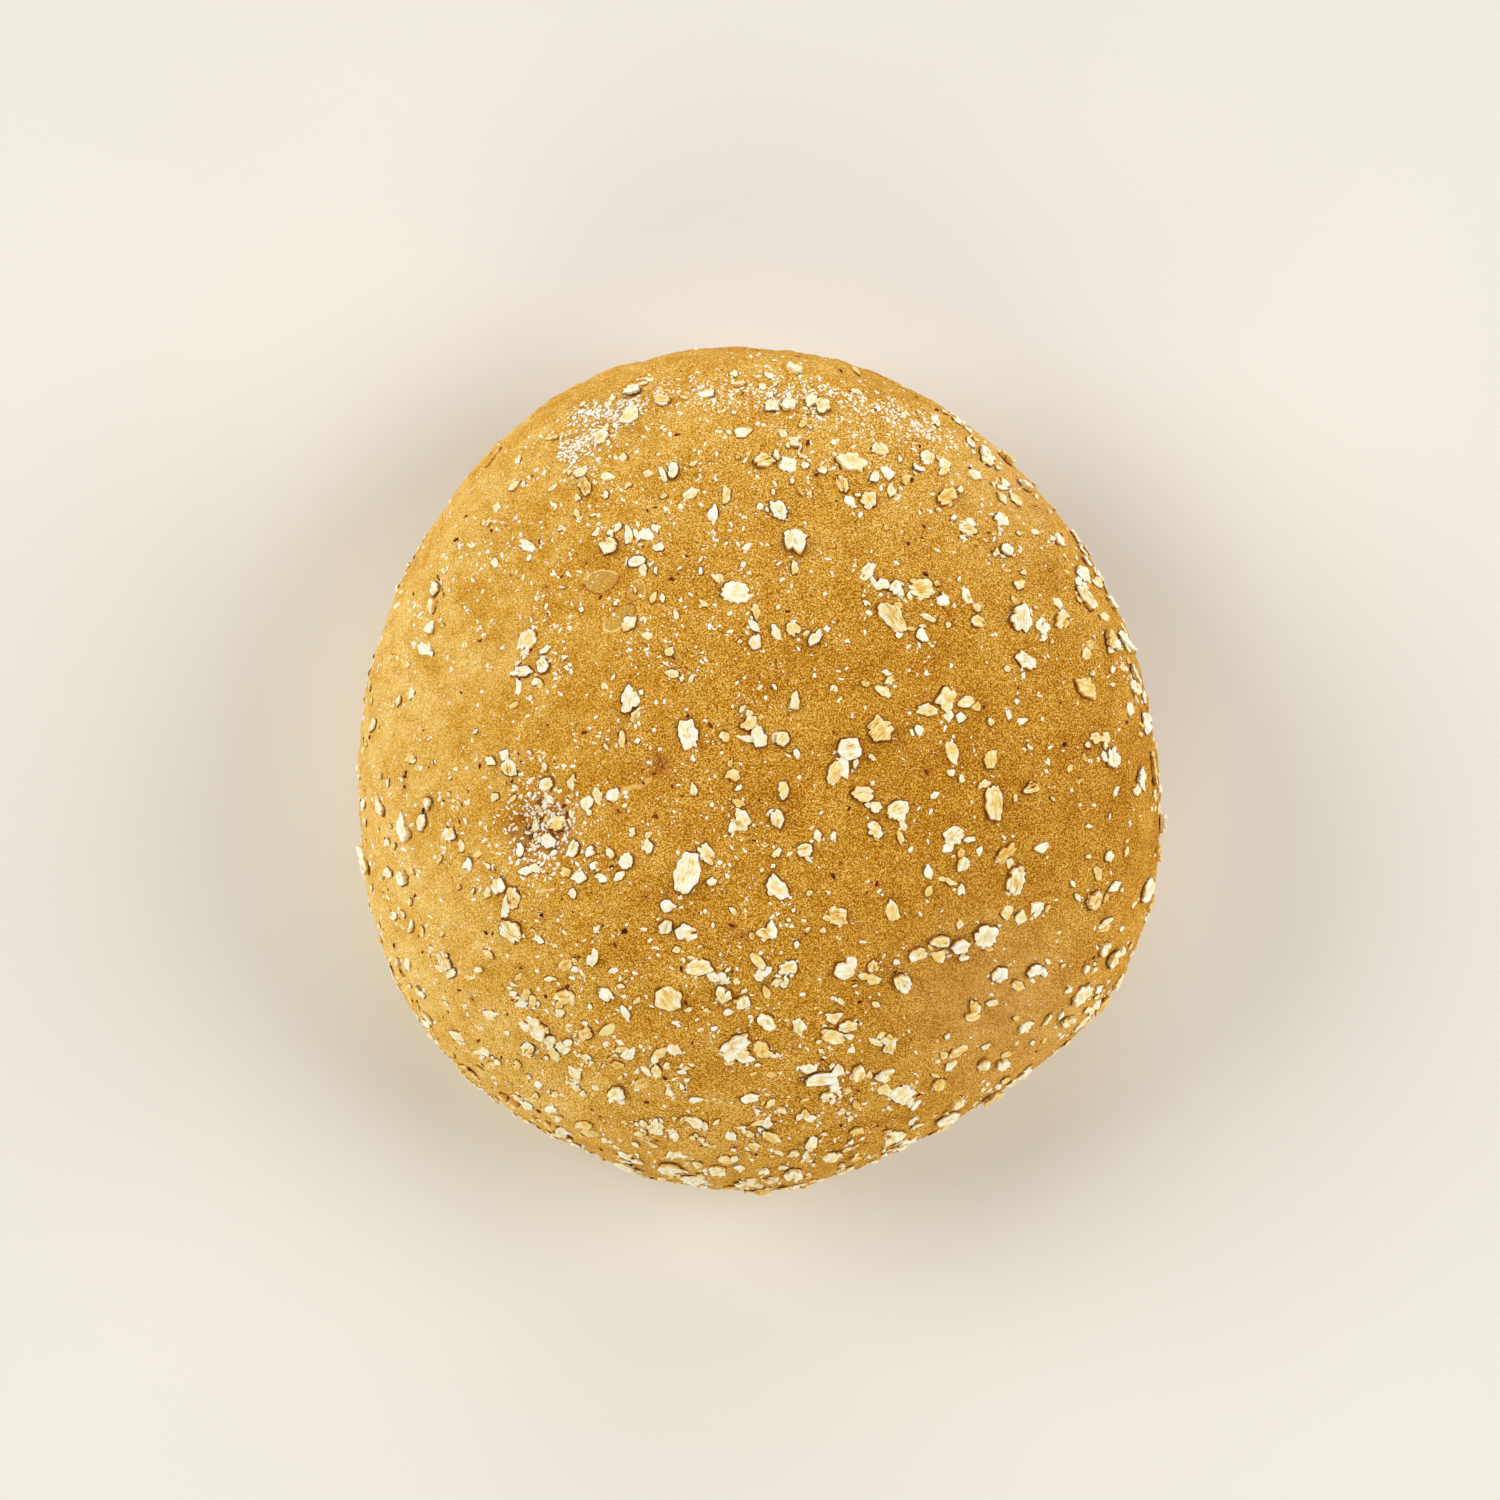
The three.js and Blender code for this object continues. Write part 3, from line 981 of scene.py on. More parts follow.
def blister_finish(finish, colour):
    """Lays smooth skins with a rim that has a painted highlight on one side and painted shade on the other.
    """
    wobble = finish.swing(finish.noise(BLISTER_WOBBLE_SIZE), BLISTER_WOBBLE)
    top = finish.attribute("top")
    breaks = finish.spread(finish.noise(BLISTER_BREAK_SIZE), *BLISTER_BREAKS)
    strength = finish.math("MULTIPLY", top, breaks)
    for *form, lit_turn in BLISTERS:
        place = finish.oval(*form)
        reach = finish.math("ADD", finish.vector("LENGTH", place), wobble)
        towards_lit = finish.vector("DOT_PRODUCT", place, (*heading(lit_turn), 0))
        # pale marks the side of the rim that gets the painted highlight; the other side gets painted shade
        pale = finish.spread(towards_lit, *BLISTER_LIT_SIDE)
        shaded_side = finish.spread(pale, *BLISTER_SHADED_SIDE)
        off_rim = finish.math("ABSOLUTE", finish.math("SUBTRACT", reach, 1.0))
        rim = finish.math("MULTIPLY", strength, finish.spread(off_rim, *BLISTER_LINE))
        skin = finish.math("MULTIPLY", top, finish.spread(reach, *BLISTER_SKIN))
        colour = finish.mix(skin, colour, srgb(SKIN_COLOUR))
        colour = finish.mix(finish.math("MULTIPLY", rim, pale), colour, srgb(RIM_HIGHLIGHT_COLOUR))
        colour = finish.mix(finish.math("MULTIPLY", rim, shaded_side), colour, srgb(RUST_AND_SHADE_COLOUR))
    return colour


def crack_finish(finish, colour, cracks, crack_colour, width):
    """Draws thin cracks that wander and break off."""
    places = finish.wandering(CRACK_WANDER, CRACK_WANDER_SIZE)
    breaks = finish.spread(finish.noise(CRACK_BREAK_SIZE), *CRACK_BREAKS)
    strength = finish.math("MULTIPLY", breaks, finish.attribute("top"))
    for start, end in crack_lines(cracks):
        distance = finish.line_distance(places, start, end)
        share = finish.spread(distance, CRACK_CORE * width * MM, width * MM, 1, 0)
        colour = finish.mix(finish.math("MULTIPLY", share, strength), colour, srgb(crack_colour))
    return colour


def crust_tone(finish, fine, grain):
    """The crust's paleness with its mottle and grain."""
    calm = finish.attribute("calm")
    grains = finish.total(finish.swing(fine, CRUST_FINE_SWING), finish.swing(grain, CRUST_GRAIN_SWING))
    grains = finish.math("MULTIPLY", grains, finish.spread(calm, 0, 1, 1, CALM_GRAIN_SHARE))
    mottle = finish.swing(finish.noise(CRUST_MOTTLE_SIZE), 1)
    swing = finish.spread(calm, 0, 1, CRUST_MOTTLE_SWING, CRUST_MOTTLE_SWING + CALM_MOTTLE_GAIN)
    return finish.total(finish.attribute("pale"), grains, finish.math("MULTIPLY", mottle, swing))


def crust_finish():
    finish = Finish("crust_golden_brown")
    fine = finish.noise(CRUST_FINE_SIZE, LOW_DETAIL, ROUGH_NOISE)
    grain = finish.noise(CRUST_GRAIN_SIZE, roughness=ROUGH_NOISE)
    tone = crust_tone(finish, fine, grain)
    colour = finish.ramp(tone, CRUST_TONES)
    colour = finish.mix(finish.attribute("rosy"), colour, finish.ramp(tone, ROSY_TONES))
    # rust_and_shade: rusty stains and browning at the foot, and painted shade in the pit and the dent
    colour = finish.mix(finish.attribute("rust_and_shade"), colour, srgb(RUST_AND_SHADE_COLOUR))
    # painted_shade: painted shade in the pit's crags and between the clumped flour
    colour = finish.mix(finish.attribute("painted_shade"), colour, srgb(DARK_COLOUR))
    colour = blister_finish(finish, colour)
    colour = crack_finish(finish, colour, HAIRLINES, RUST_AND_SHADE_COLOUR, CRACK_WIDTH)
    # A painted highlight along the crease's ridge
    colour = crack_finish(finish, colour, HIGHLIT_CREASES, CREASE_HIGHLIGHT_COLOUR, HIGHLIT_CREASE_WIDTH)
    colour = crack_finish(finish, colour, OPEN_CRACKS, DARK_COLOUR, CRACK_WIDTH)
    dust = finish.spread(finish.attribute("dust"), 0, 1, 0, DUST_GAIN)
    speck = finish.spread(finish.total(finish.noise(DUST_SIZE, NO_DETAIL), dust), *DUST_RANGE)
    colour = finish.mix(speck, colour, srgb(DUST_COLOUR))
    normal = finish.bump(finish.total(fine, grain), *CRUST_BUMP)
    roughness = finish.spread(grain, *NOISE_RANGE, *CRUST_ROUGHNESS)
    return finish.shade(colour, normal, roughness, CRUST_SPECULAR)


def oat_cracks(finish, where):
    """Share of the thin dark cracks along a flake."""
    noise = finish.noise(OAT_CRACK_SIZE, LOW_DETAIL, where=finish.stretched(where, OAT_CRACK_STRETCH))
    off_middle = finish.math("ABSOLUTE", finish.math("SUBTRACT", noise, NOISE_MIDDLE))
    share = finish.spread(off_middle, 0, OAT_CRACK_SHARE, 1, 0)
    return finish.math("MULTIPLY", share, finish.attribute("cracked"))


def oat_finish():
    """Finish of the flakes and crumbs. Past golden, their tones are drawn in towards the brownest."""
    finish = Finish("oat_cream")
    where = finish.attribute("grain", "Vector")
    along = finish.stretched(where, OAT_VEIN_STRETCH)
    vein = finish.noise(OAT_VEIN_SIZE, roughness=ROUGH_NOISE, where=along)
    patch = finish.noise(OAT_PATCH_SIZE, where=where)
    crack = oat_cracks(finish, where)
    swings = finish.total(finish.swing(patch, OAT_PATCH_SWING), finish.swing(vein, OAT_VEIN_SWING))
    tone = finish.total(finish.attribute("tone"), swings)
    tone = finish.math("MINIMUM", tone, finish.spread(tone, OAT_GOLDEN, 1, OAT_GOLDEN, OAT_BROWNEST))
    tone = finish.total(tone, finish.math("MULTIPLY", crack, OAT_CRACK_TONE))
    colour = finish.ramp(tone, OAT_TONES)
    # The collar round each plate is painted dark brown: contact shade, with some browning
    shaded_collar = finish.spread(finish.attribute("shaded_collar"), *COLLAR_SHADE_RANGE)
    colour = finish.mix(shaded_collar, colour, finish.ramp(finish.noise(COLLAR_SHADE_PATCH_SIZE), COLLAR_SHADE_COLOURS))
    normal = finish.bump(finish.math("SUBTRACT", vein, crack), *OAT_BUMP)
    roughness = finish.spread(vein, *NOISE_RANGE, *OAT_ROUGHNESS)
    return finish.shade(colour, normal, roughness, OAT_SPECULAR)


def plain_finish(name, tones, size):
    """Finish of one kind of speck or of the floor, clouded with noise of the size in millimetres."""
    finish = Finish(name)
    cloud = finish.noise(size, LOW_DETAIL)
    colour = finish.ramp(cloud, tones)
    roughness = finish.spread(cloud, 0, 1, *SPECK_ROUGHNESS)
    return finish.shade(colour, finish.bump(cloud, *SPECK_BUMP), roughness, SPECK_SPECULAR)


def plan(directions):
    """Turn about the loaf's middle, and distance from it as a share of the outline's, from above."""
    turn = np.arctan2(directions[:, 1], directions[:, 0])
    return turn, np.hypot(directions[:, 0], directions[:, 1]) ** FULLNESS


def flour_band(directions):
    """Share of the band of flour along the loaf's edge."""
    turn, reach = plan(directions)
    along = 1 - smoothstep(angle_between(turn, BAND_TURN), *np.radians(BAND_HALF_SPREAD))
    return along * bell((reach - BAND_REACH) / BAND_WIDTH) * (directions[:, 2] > 0)


def strewn(directions):
    """Density of all that is strewn: clumped, and dying out down the sides and along the far edge."""
    points = crust_points(directions)
    share = STREWN_LEAST + STREWN_CLUMP_GAIN * smoothstep(CLUMPS(points), *STREWN_CLUMPS)
    for x, y, radius, barer in STREWN_PATCHES:
        share *= 1 - barer * bell(distance_to(points[:, :2], (x, y)) / radius)
    share *= smoothstep(directions[:, 2], STREWN_LOWEST_RISE, STREWN_FULL_RISE)
    return share * (1 - plain_edge(directions))


def plain_edge(directions):
    """Share of the plain strip that the strewn things leave along the far edge."""
    turn, reach = plan(directions)
    along = near_turn(turn, PLAIN_TURN, PLAIN_SPREAD)
    return along * smoothstep(reach, *PLAIN_REACH) * smoothstep(directions[:, 2], *PLAIN_RISE)


def crumb_density(directions):
    turn, reach = plan(directions)
    share = 1 - CRUMB_BARE_SHARE * near_turn(turn, CRUMB_BARE_TURN, CRUMB_BARE_SPREAD)
    share *= CRUMB_MIDDLE_SHARE + (1 - CRUMB_MIDDLE_SHARE) * smoothstep(reach, *CRUMB_MIDDLE_REACH)
    front = near_turn(turn, CRUMB_FRONT_TURN, CRUMB_FRONT_SPREAD) * smoothstep(reach, *CRUMB_FRONT_REACH)
    edge = near_turn(turn, CRUMB_EDGE_TURN, CRUMB_EDGE_SPREAD) * bell(directions[:, 2] / CRUMB_EDGE_RISE)
    share += CRUMB_FRONT_GAIN * front + CRUMB_EDGE_GAIN * edge + CRUMB_BAND_GAIN * flour_band(directions)
    return share * strewn(directions)


def grit_density(directions):
    turn, _ = plan(directions)
    share = GRIT_LEAST + near_turn(turn, GRIT_TURN, GRIT_SPREAD) + GRIT_BAND_GAIN * flour_band(directions)
    share += GRIT_FRONT_GAIN * near_turn(turn, GRIT_FRONT_TURN, GRIT_FRONT_SPREAD)
    return share * strewn(directions)


def bran_density(directions):
    turn, _ = plan(directions)
    return (BRAN_LEAST + near_turn(turn, BRAN_TURN, BRAN_SPREAD)) * strewn(directions)


def scatter(rng, count, density):
    """Directions whose points lie on the crust as densely as the density asks."""
    chosen = np.empty((0, 3))
    while len(chosen) < count:
        rise = rng.uniform(STREWN_LOWEST_RISE, 1, STREWN_BATCH)
        directions = spherical(rise, rng.uniform(0, math.tau, STREWN_BATCH))
        chance = density(directions) * np.linalg.norm(crust_slopes(directions), axis=1)
        keep = rng.uniform(size=STREWN_BATCH) * chance.max() < chance
        chosen = np.concatenate([chosen, directions[keep]])
    return chosen[:count]


def near(rng, centres, spread, count):
    """Directions thrown about those of some centres."""
    chosen = centres[rng.integers(len(centres), size=count)]
    return unit(chosen + rng.normal(scale=spread / (LOAF_DIAMETER / 2), size=(count, 3)))


def about(rng, x, y, spread, count):
    return near(rng, direction_at(x, y), spread, count)


def small_sizes(rng, sizes, count):
    """Sizes between two, more of the small than of the large."""
    low, high = sizes
    return low * (high / low) ** (rng.uniform(size=count) ** SMALL_SIZE_BIAS)


def standing(normals, rng, tilt):
    """Frames that stand on the crust, turned at random and tilted a little."""
    frames = upright_frames(normals) @ turns(rng.uniform(0, math.tau, len(normals)), 2)
    return frames @ turns(rng.normal(scale=math.radians(tilt), size=len(normals)), 0)


def side_share(points, degrees):
    """How far points lie towards a side, from above: 1 at its edge and -1 at the far edge."""
    return (points[:, :2] - OUTLINE_MIDDLE) @ heading(degrees) / (LOAF_DIAMETER / 2)


def rim_share(points):
    """How far points lie from the middle, from above: 1 at the edge."""
    return distance_to(points[:, :2], OUTLINE_MIDDLE) / (LOAF_DIAMETER / 2)


def crust_calm(points, rosy):
    """Where the grain is faint and the mottle strong: on one side, near the edge and in rosy places."""
    calm = smoothstep(side_share(points, CALM_TURN), *CALM_SIDE_REACH)
    calm = np.maximum(calm, CALM_RIM_SHARE * smoothstep(rim_share(points), *CALM_RIM_REACH))
    return np.maximum(calm, rosy)


def crust_paleness(points):
    pale = PALE_LEAST + PALE_SIDE_GAIN * smoothstep(side_share(points, PALE_TURN), *PALE_SIDE_REACH)
    pale += PALE_RIM_GAIN * smoothstep(rim_share(points), *PALE_RIM_REACH)
    pale -= patches(points[:, :2], TONE_PATCHES)
    low, high = np.array(PALE_FOOT_LEVELS) * WAIST_HEIGHT
    pale += PALE_FOOT_GAIN * (1 - smoothstep(points[:, 2], low, high))
    return pale + BLOTCH_SWING * BLOTCHES(points)


def crust_bake_map(directions, triangles):
    """Lays the loaf out on a disc: the top in the middle, the base as a narrow rim, its middle left out."""
    polar = np.arccos(np.clip(directions[:, 2], -1, 1)) / math.pi
    radius = np.interp(polar, BAKED_POLAR_SHARES, BAKED_RADII)
    turn = np.arctan2(directions[:, 1], directions[:, 0])
    uv = (0.5 + np.column_stack([np.cos(turn), np.sin(turn)]) * radius[:, None])[triangles]
    wide = np.ptp(uv, axis=1).max(axis=1) > WIDEST_BAKED_TRIANGLE
    uv[wide] = uv[wide][:, :1]
    return uv


def stains(points, centres):
    """Share of the small rusty stains about some of the bran."""
    share = np.zeros(len(points))
    for centre in centres:
        share = np.maximum(share, bell(np.linalg.norm(points - centre, axis=1) / STAIN_RADIUS))
    return share


def clump_beds(places):
    """Share of the painted shade between the grains of the densest clumps of flour."""
    dense = GRIT_CLUMPS[:DENSE_CLUMPS]
    beds = [bell(distance_to(places, (x, y)) / (CLUMP_BED_REACH * spread)) for x, y, spread, _ in dense]
    return np.max(beds, axis=0)


def crust_rust_and_shade(points, top, stain_centres):
    """Share of rusty brown: painted shade in the pit and the dent, stains about some of the bran, and
    browning round the foot.
    """
    places = points[:, :2]
    crag = smoothstep(CRAGS(points), *CRAG_RANGE)
    dent = bell(distance_to(places, DENT_AT) / (DENT_SHADE_REACH * DENT_RADIUS))
    hollows = PIT_BROWN_SHADE * pit_share(places) * (1 - CRAG_SHADE_LOSS * crag) + DENT_BROWN_SHADE * dent
    rust_and_shade = np.maximum(STAIN_RUST * stains(points, stain_centres), hollows * top)
    return np.maximum(rust_and_shade, BASE_BROWNING * smoothstep(-points[:, 2], -BASE_BROWNING_HEIGHT, 0))


def crust_shade(points, top):
    """Share of painted shade: in the pit's deepest crags and between the flour's densest grains."""
    places = points[:, :2]
    crags = PIT_SHADE * pit_share(places) * smoothstep(-CRAGS(points), *PIT_SHADE_RANGE)
    return np.maximum(crags, CLUMP_BED_SHADE * clump_beds(places)) * top


def make_crust(stain_centres):
    directions, triangles = icosphere(CRUST_SPLITS)
    directions = crowd(directions)
    points = detailed_points(directions)
    top = directions[:, 2] > 0
    rosy = patches(points[:, :2], ROSY_PLACES) * top
    attributes = {
        "pale": crust_paleness(points),
        "rosy": rosy,
        "calm": crust_calm(points, rosy),
        "rust_and_shade": crust_rust_and_shade(points, top, stain_centres),
        "painted_shade": crust_shade(points, top),
        "top": top.astype(float),
        "dust": grit_density(directions).clip(0, 1),
    }
    uv = crust_bake_map(directions, triangles)
    smooth = np.ones(len(triangles), bool)
    crust = mesh_object("crust", points, triangles, smooth, crust_finish(), attributes, uv)
    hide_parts("loaf")


def plate_triangles(rings, segments):
    """Triangles of a closed plate: a middle point, rings of points outwards and down, a foot point."""
    ring = 1 + np.arange(segments)
    after = 1 + np.roll(np.arange(segments), -1)
    parts = [np.column_stack([np.zeros(segments, int), ring, after])]
    for step in range(rings - 1):
        inner, outer = step * segments, (step + 1) * segments
        parts.append(np.column_stack([ring + inner, ring + outer, after + outer]))
        parts.append(np.column_stack([ring + inner, after + outer, after + inner]))
    last = (rings - 1) * segments
    parts.append(np.column_stack([np.full(segments, 1 + rings * segments), after + last, ring + last]))
    return np.concatenate(parts)


def spokes(angles):
    return np.column_stack([np.sin(angles), -np.cos(angles)])


def ragged_edge(angles, rng):
    """How far a plate's edge stands out at each angle: wavy, and notched here and there."""
    ragged = np.ones(len(angles))
    for wave in RAGGED_WAVES:
        swing = RAGGED_PART / math.sqrt(wave) * rng.normal()
        ragged += swing * np.cos(wave * angles + rng.uniform(0, math.tau))
    for _ in range(rng.integers(0, MOST_NOTCHES + 1)):
        notch = angle_between(angles, rng.uniform(0, FULL_TURN)) / rng.uniform(*NOTCH_WIDTHS)
        ragged -= rng.uniform(*NOTCH_DEPTHS) * bell(notch)
    return ragged


def plate_outline(corners, segments, rng):
    """Points round a plate: corners joined by edges between straight and bowed, notched and ragged."""
    corners = np.array(corners)
    count = len(corners)
    angles = np.linspace(0, math.tau, segments, endpoint=False)
    step = angles / math.tau * count
    before = np.floor(step).astype(int) % count
    after = (before + 1) % count
    share = (step - np.floor(step))[:, None]
    rim = spokes(math.tau * np.arange(count) / count) * corners[:, None]
    straight = rim[before] * (1 - share) + rim[after] * share
    bowed = spokes(angles) * (corners[before, None] * (1 - share) + corners[after, None] * share)
    outline = PLATE_STRAIGHTNESS * straight + (1 - PLATE_STRAIGHTNESS) * bowed
    return outline * ragged_edge(angles, rng)[:, None]


def plate_heights(local, shares, proud, rng):
    """Heights of a plate's top: lumpy, cupped or domed, with a furrow and a ledge where it broke."""
    lumps = np.zeros(len(local))
    for _ in range(LUMP_COUNT):
        along = LUMP_WAVES * rng.normal(size=2)
        lumps += np.sin(local @ along + rng.uniform(0, math.tau))
    furrow = bell((local[:, 1] - rng.uniform(*FURROW_BENDS) * local[:, 0] ** 2) / FURROW_WIDTH)
    turn = rng.uniform(0, math.tau)
    past_ledge = local @ (math.cos(turn), math.sin(turn)) - rng.normal(scale=LEDGE_SPREAD)
    height = rng.uniform(*PLATE_LEVELS) - PLATE_EDGE_DROP * shares**4
    height += rng.uniform(*PLATE_CUPPING) * shares**2
    height -= rng.uniform(*FURROW_DEPTHS) * furrow
    height -= rng.uniform(*LEDGE_DEPTHS) * smoothstep(past_ledge, -LEDGE_WIDTH, LEDGE_WIDTH)
    return proud * height + LUMP_HEIGHT * lumps


def plate_ground(local, plate):
    """Heights of the crust under a plate's points, in the plate's own tilted frame."""
    normal = plate["frame"].T @ plate["normal"]
    return -(local @ normal[:2]) / normal[2]


class PlateForm:
    """What a piece's plates share: rings of points outwards over the top, under the rim and round it."""

    def __init__(self, segments, top_rings, proud, foot, shaded_collar):
        shares = [*top_rings, 1, UNDERCUT_SHARE, 1]
        self.segments = segments
        self.rings = len(shares)
        self.proud = proud
        self.foot = foot
        self.shaded_collar = shaded_collar
        self.triangles = plate_triangles(self.rings, segments)
        self.smooth = np.arange(len(self.triangles)) < segments * (2 * len(top_rings) + 1)
        self.shares = self.over_rings(shares)
        self.baked_shares = self.over_rings(np.linspace(0, 1, self.rings + 1)[1:])
        self.rim, self.undercut, self.edge = (self.ring(len(top_rings) + step) for step in range(3))

    def over_rings(self, values):
        """A number for each point: its ring's, and 0 for the middle and the foot."""
        return np.concatenate([[0], np.repeat(values, self.segments), [0]])

    def ring(self, number):
        first = 1 + number * self.segments
        return slice(first, first + self.segments)

    def outline(self, plate, rng):
        """The outline, repeated for each ring, with 0 for the middle and the foot."""
        outline = plate_outline(plate["corners"], self.segments, rng)
        return np.concatenate([[(0, 0)], np.tile(outline, (self.rings, 1)), [(0, 0)]])

    def points(self, plate, outline, rng):
        """A plate's points in its own frame, with the undercut and the collar laid on the crust."""
        local = outline * self.shares[:, None] * (plate["length"] / 2, plate["width"] / 2)
        height = plate_heights(local, self.shares, self.proud, rng)
        height[self.rim] *= RIM_LEVEL
        reach = COLLAR_STEEP_SHARE + (1 - COLLAR_STEEP_SHARE) * abs(plate["normal"][2])
        local[self.edge] += self.shaded_collar * reach * unit(local[self.edge])
        ground = plate_ground(local, plate)
        stands_out = height[self.rim] > ground[self.rim] + COLLAR_LEAST_RIM
        height[self.undercut] = ground[self.undercut] + UNDERCUT_LEVEL * self.proud
        height[self.edge] = ground[self.edge] + np.where(stands_out, COLLAR_LIFT, COLLAR_SUNK)
        height[-1] = self.foot
        return np.column_stack([local, height])

    def tan(self):
        """How much browner than the plate's own tone its points are: tan towards the middle, and at the rim
        and undercut painted warm shade on the walls, with some toasting of the edge.
        """
        tan = TAN_MIDDLE * (TAN_EDGE_SHARE - self.shares**2)
        tan[self.rim] = RIM_SHADE_TAN
        tan[self.undercut] = UNDERCUT_SHADE_TAN
        return tan

    def shaded_collar_share(self):
        """1 for the points of the collar and the foot, which carry the collar's painted contact shade."""
        return (np.arange(len(self.shares)) >= self.edge.start).astype(float)

    def bake_map(self, outline, cell, across):
        """Lays a plate out in its cell of the map, the triangles of its foot without an area."""
        uv = (cell + 0.5 + BAKED_PLATE_SHARE * outline * self.baked_shares[:, None]) / across
        uv = uv[self.triangles]
        uv[-self.segments :, 0] = uv[-self.segments :, 1]
        return uv


def map_cells(count):
    """Cells of a square map, one for each of the count, and how many lie across it."""
    across = math.ceil(math.sqrt(count))
    return np.column_stack([np.arange(count) % across, np.arange(count) // across]), across


def repeated(triangles, count, points):
    """Triangles of many like meshes in one, each with its own points."""
    return (triangles + points * np.arange(count)[:, None, None]).reshape(-1, 3)


def make_plates(name, plates, form):
    """One piece of many plates. Each has a top, an undercut rim, and a collar of crust round it, painted
    dark brown as contact shade with some browning.
    """
    rng = np.random.default_rng(PLATE_SEED)
    count = len(plates)
    size = len(form.shares)
    cells, across = map_cells(count)
    points, grains, uvs = [], [], []
    for number, plate in enumerate(plates):
        outline = form.outline(plate, rng)
        local = form.points(plate, outline, rng)
        points.append(local @ plate["frame"].T + plate["point"])
        grains.append(np.column_stack([local[:, :2], np.full(size, number * GRAIN_SPACING)]) * MM)
        uvs.append(form.bake_map(outline, cells[number], across))
    attributes = {
        "tone": np.concatenate([plate["tone"] + form.tan() for plate in plates]),
        "cracked": np.repeat([plate["cracked"] for plate in plates], size),
        "shaded_collar": np.tile(form.shaded_collar_share(), count),
        "grain": np.concatenate(grains),
    }
    points, uvs = np.concatenate(points), np.concatenate(uvs)
    triangles = repeated(form.triangles, count, size)
    piece = mesh_object(name, points, triangles, np.tile(form.smooth, count), oat_finish(), attributes, uvs)


def make_flakes(flakes, rng):
    directions = np.array([flake["direction"] for flake in flakes])
    normals = unit(crust_slopes(directions))
    frames = upright_frames(normals) @ turns(np.array([flake["turn"] for flake in flakes]), 2)
    frames = frames @ turns(np.array([flake["tilts"][0] for flake in flakes]), 0)
    frames = frames @ turns(np.array([flake["tilts"][1] for flake in flakes]), 1)
    for flake, normal, frame_matrix in zip(flakes, normals, frames):
        flake["normal"] = normal
        flake["frame"] = frame_matrix
        flake["corners"] = FLAKE_RIM_SHARE * np.array(flake["corners"])
        flake["tone"] = rng.beta(*FLAKE_TONES)
        flake["cracked"] = rng.uniform()
    form = PlateForm(FLAKE_SEGMENTS, FLAKE_TOP_RINGS, FLAKE_PROUD, FLAKE_FOOT, FLAKE_COLLAR)
    make_plates("oat_flakes", flakes, form)


def make_crumbs(flake_directions, rng):
    directions = np.concatenate([
        scatter(rng, CRUMB_COUNT, crumb_density),
        near(rng, flake_directions, NEAR_SPREAD, CRUMBS_NEAR_FLAKES),
        about(rng, *PIT_AT, PIT_SPREAD, CRUMBS_IN_PIT),
    ])
    points = detailed_points(directions)
    normals = unit(crust_slopes(directions))
    frames = standing(normals, rng, CRUMB_TILT)
    sizes = small_sizes(rng, CRUMB_SIZES, len(points))
    sizes *= 1 - (1 - PIT_CRUMB_SHRINK) * pit_share(points[:, :2])
    crumbs = []
    for point, normal, frame_matrix, size in zip(points, normals, frames, sizes):
        stretch = math.sqrt(rng.uniform(1, CRUMB_MOST_ASPECT))
        sides = rng.integers(CRUMB_FEWEST_SIDES, CRUMB_MOST_SIDES + 1)
        crumbs.append({
            "point": point,
            "normal": normal,
            "frame": frame_matrix,
            "length": size * stretch,
            "width": size / stretch,
            "corners": rng.uniform(*CRUMB_CORNERS, sides),
            "tone": rng.beta(*CRUMB_TONES),
            "cracked": 0.0,
        })
    form = PlateForm(CRUMB_SEGMENTS, CRUMB_TOP_RINGS, CRUMB_PROUD, CRUMB_FOOT, CRUMB_COLLAR)
    make_plates("oat_crumbs", crumbs, form)


def make_grains(name, directions, sizes, flatness, material, rng):
    """One piece of many small angular grains, half sunk in the crust."""
    ball, faces = icosphere(1)
    count = len(directions)
    stretch = np.sqrt(rng.uniform(1, GRIT_MOST_ASPECT, count))
    form = np.column_stack([stretch, 1 / stretch, np.full(count, flatness)])
    local = ball * rng.uniform(*GRIT_UNEVENNESS, (count, len(ball), 1)) * form[:, None]
    local *= sizes[:, None, None] / 2
    frames = standing(unit(crust_slopes(directions)), rng, GRIT_TILT)
    points = local @ frames.transpose(0, 2, 1) + detailed_points(directions)[:, None]
    triangles = repeated(faces, count, len(ball))
    cells, across = map_cells(count)
    uv = ((cells[:, None] + 0.5 + BAKED_GRAIN_SHARE * ball[:, :2]) / across).reshape(-1, 2)[triangles]
    flat = np.zeros(len(triangles), bool)
    piece = mesh_object(name, points.reshape(-1, 3), triangles, flat, material, {}, uv)


def make_grit(flake_directions, rng):
    strewn_at = np.concatenate([
        scatter(rng, GRIT_COUNT, grit_density),
        near(rng, flake_directions, NEAR_SPREAD, GRIT_NEAR_FLAKES),
        about(rng, *PIT_AT, PIT_SPREAD, GRIT_IN_PIT),
    ])
    strewn_sizes = small_sizes(rng, GRIT_SIZES, len(strewn_at))
    strewn_sizes *= 1 - GRIT_BAND_SHRINK * flour_band(strewn_at)
    clumped_at = np.concatenate([about(rng, *clump) for clump in GRIT_CLUMPS])
    clumped_sizes = small_sizes(rng, GRIT_CLUMP_SIZES, len(clumped_at))
    directions = np.concatenate([strewn_at, clumped_at])
    sizes = np.concatenate([strewn_sizes, clumped_sizes])
    finish = plain_finish("flour", FLOUR_COLOURS, FLOUR_CLOUD_SIZE)
    make_grains("flour_grit", directions, sizes, GRIT_FLATNESS, finish, rng)


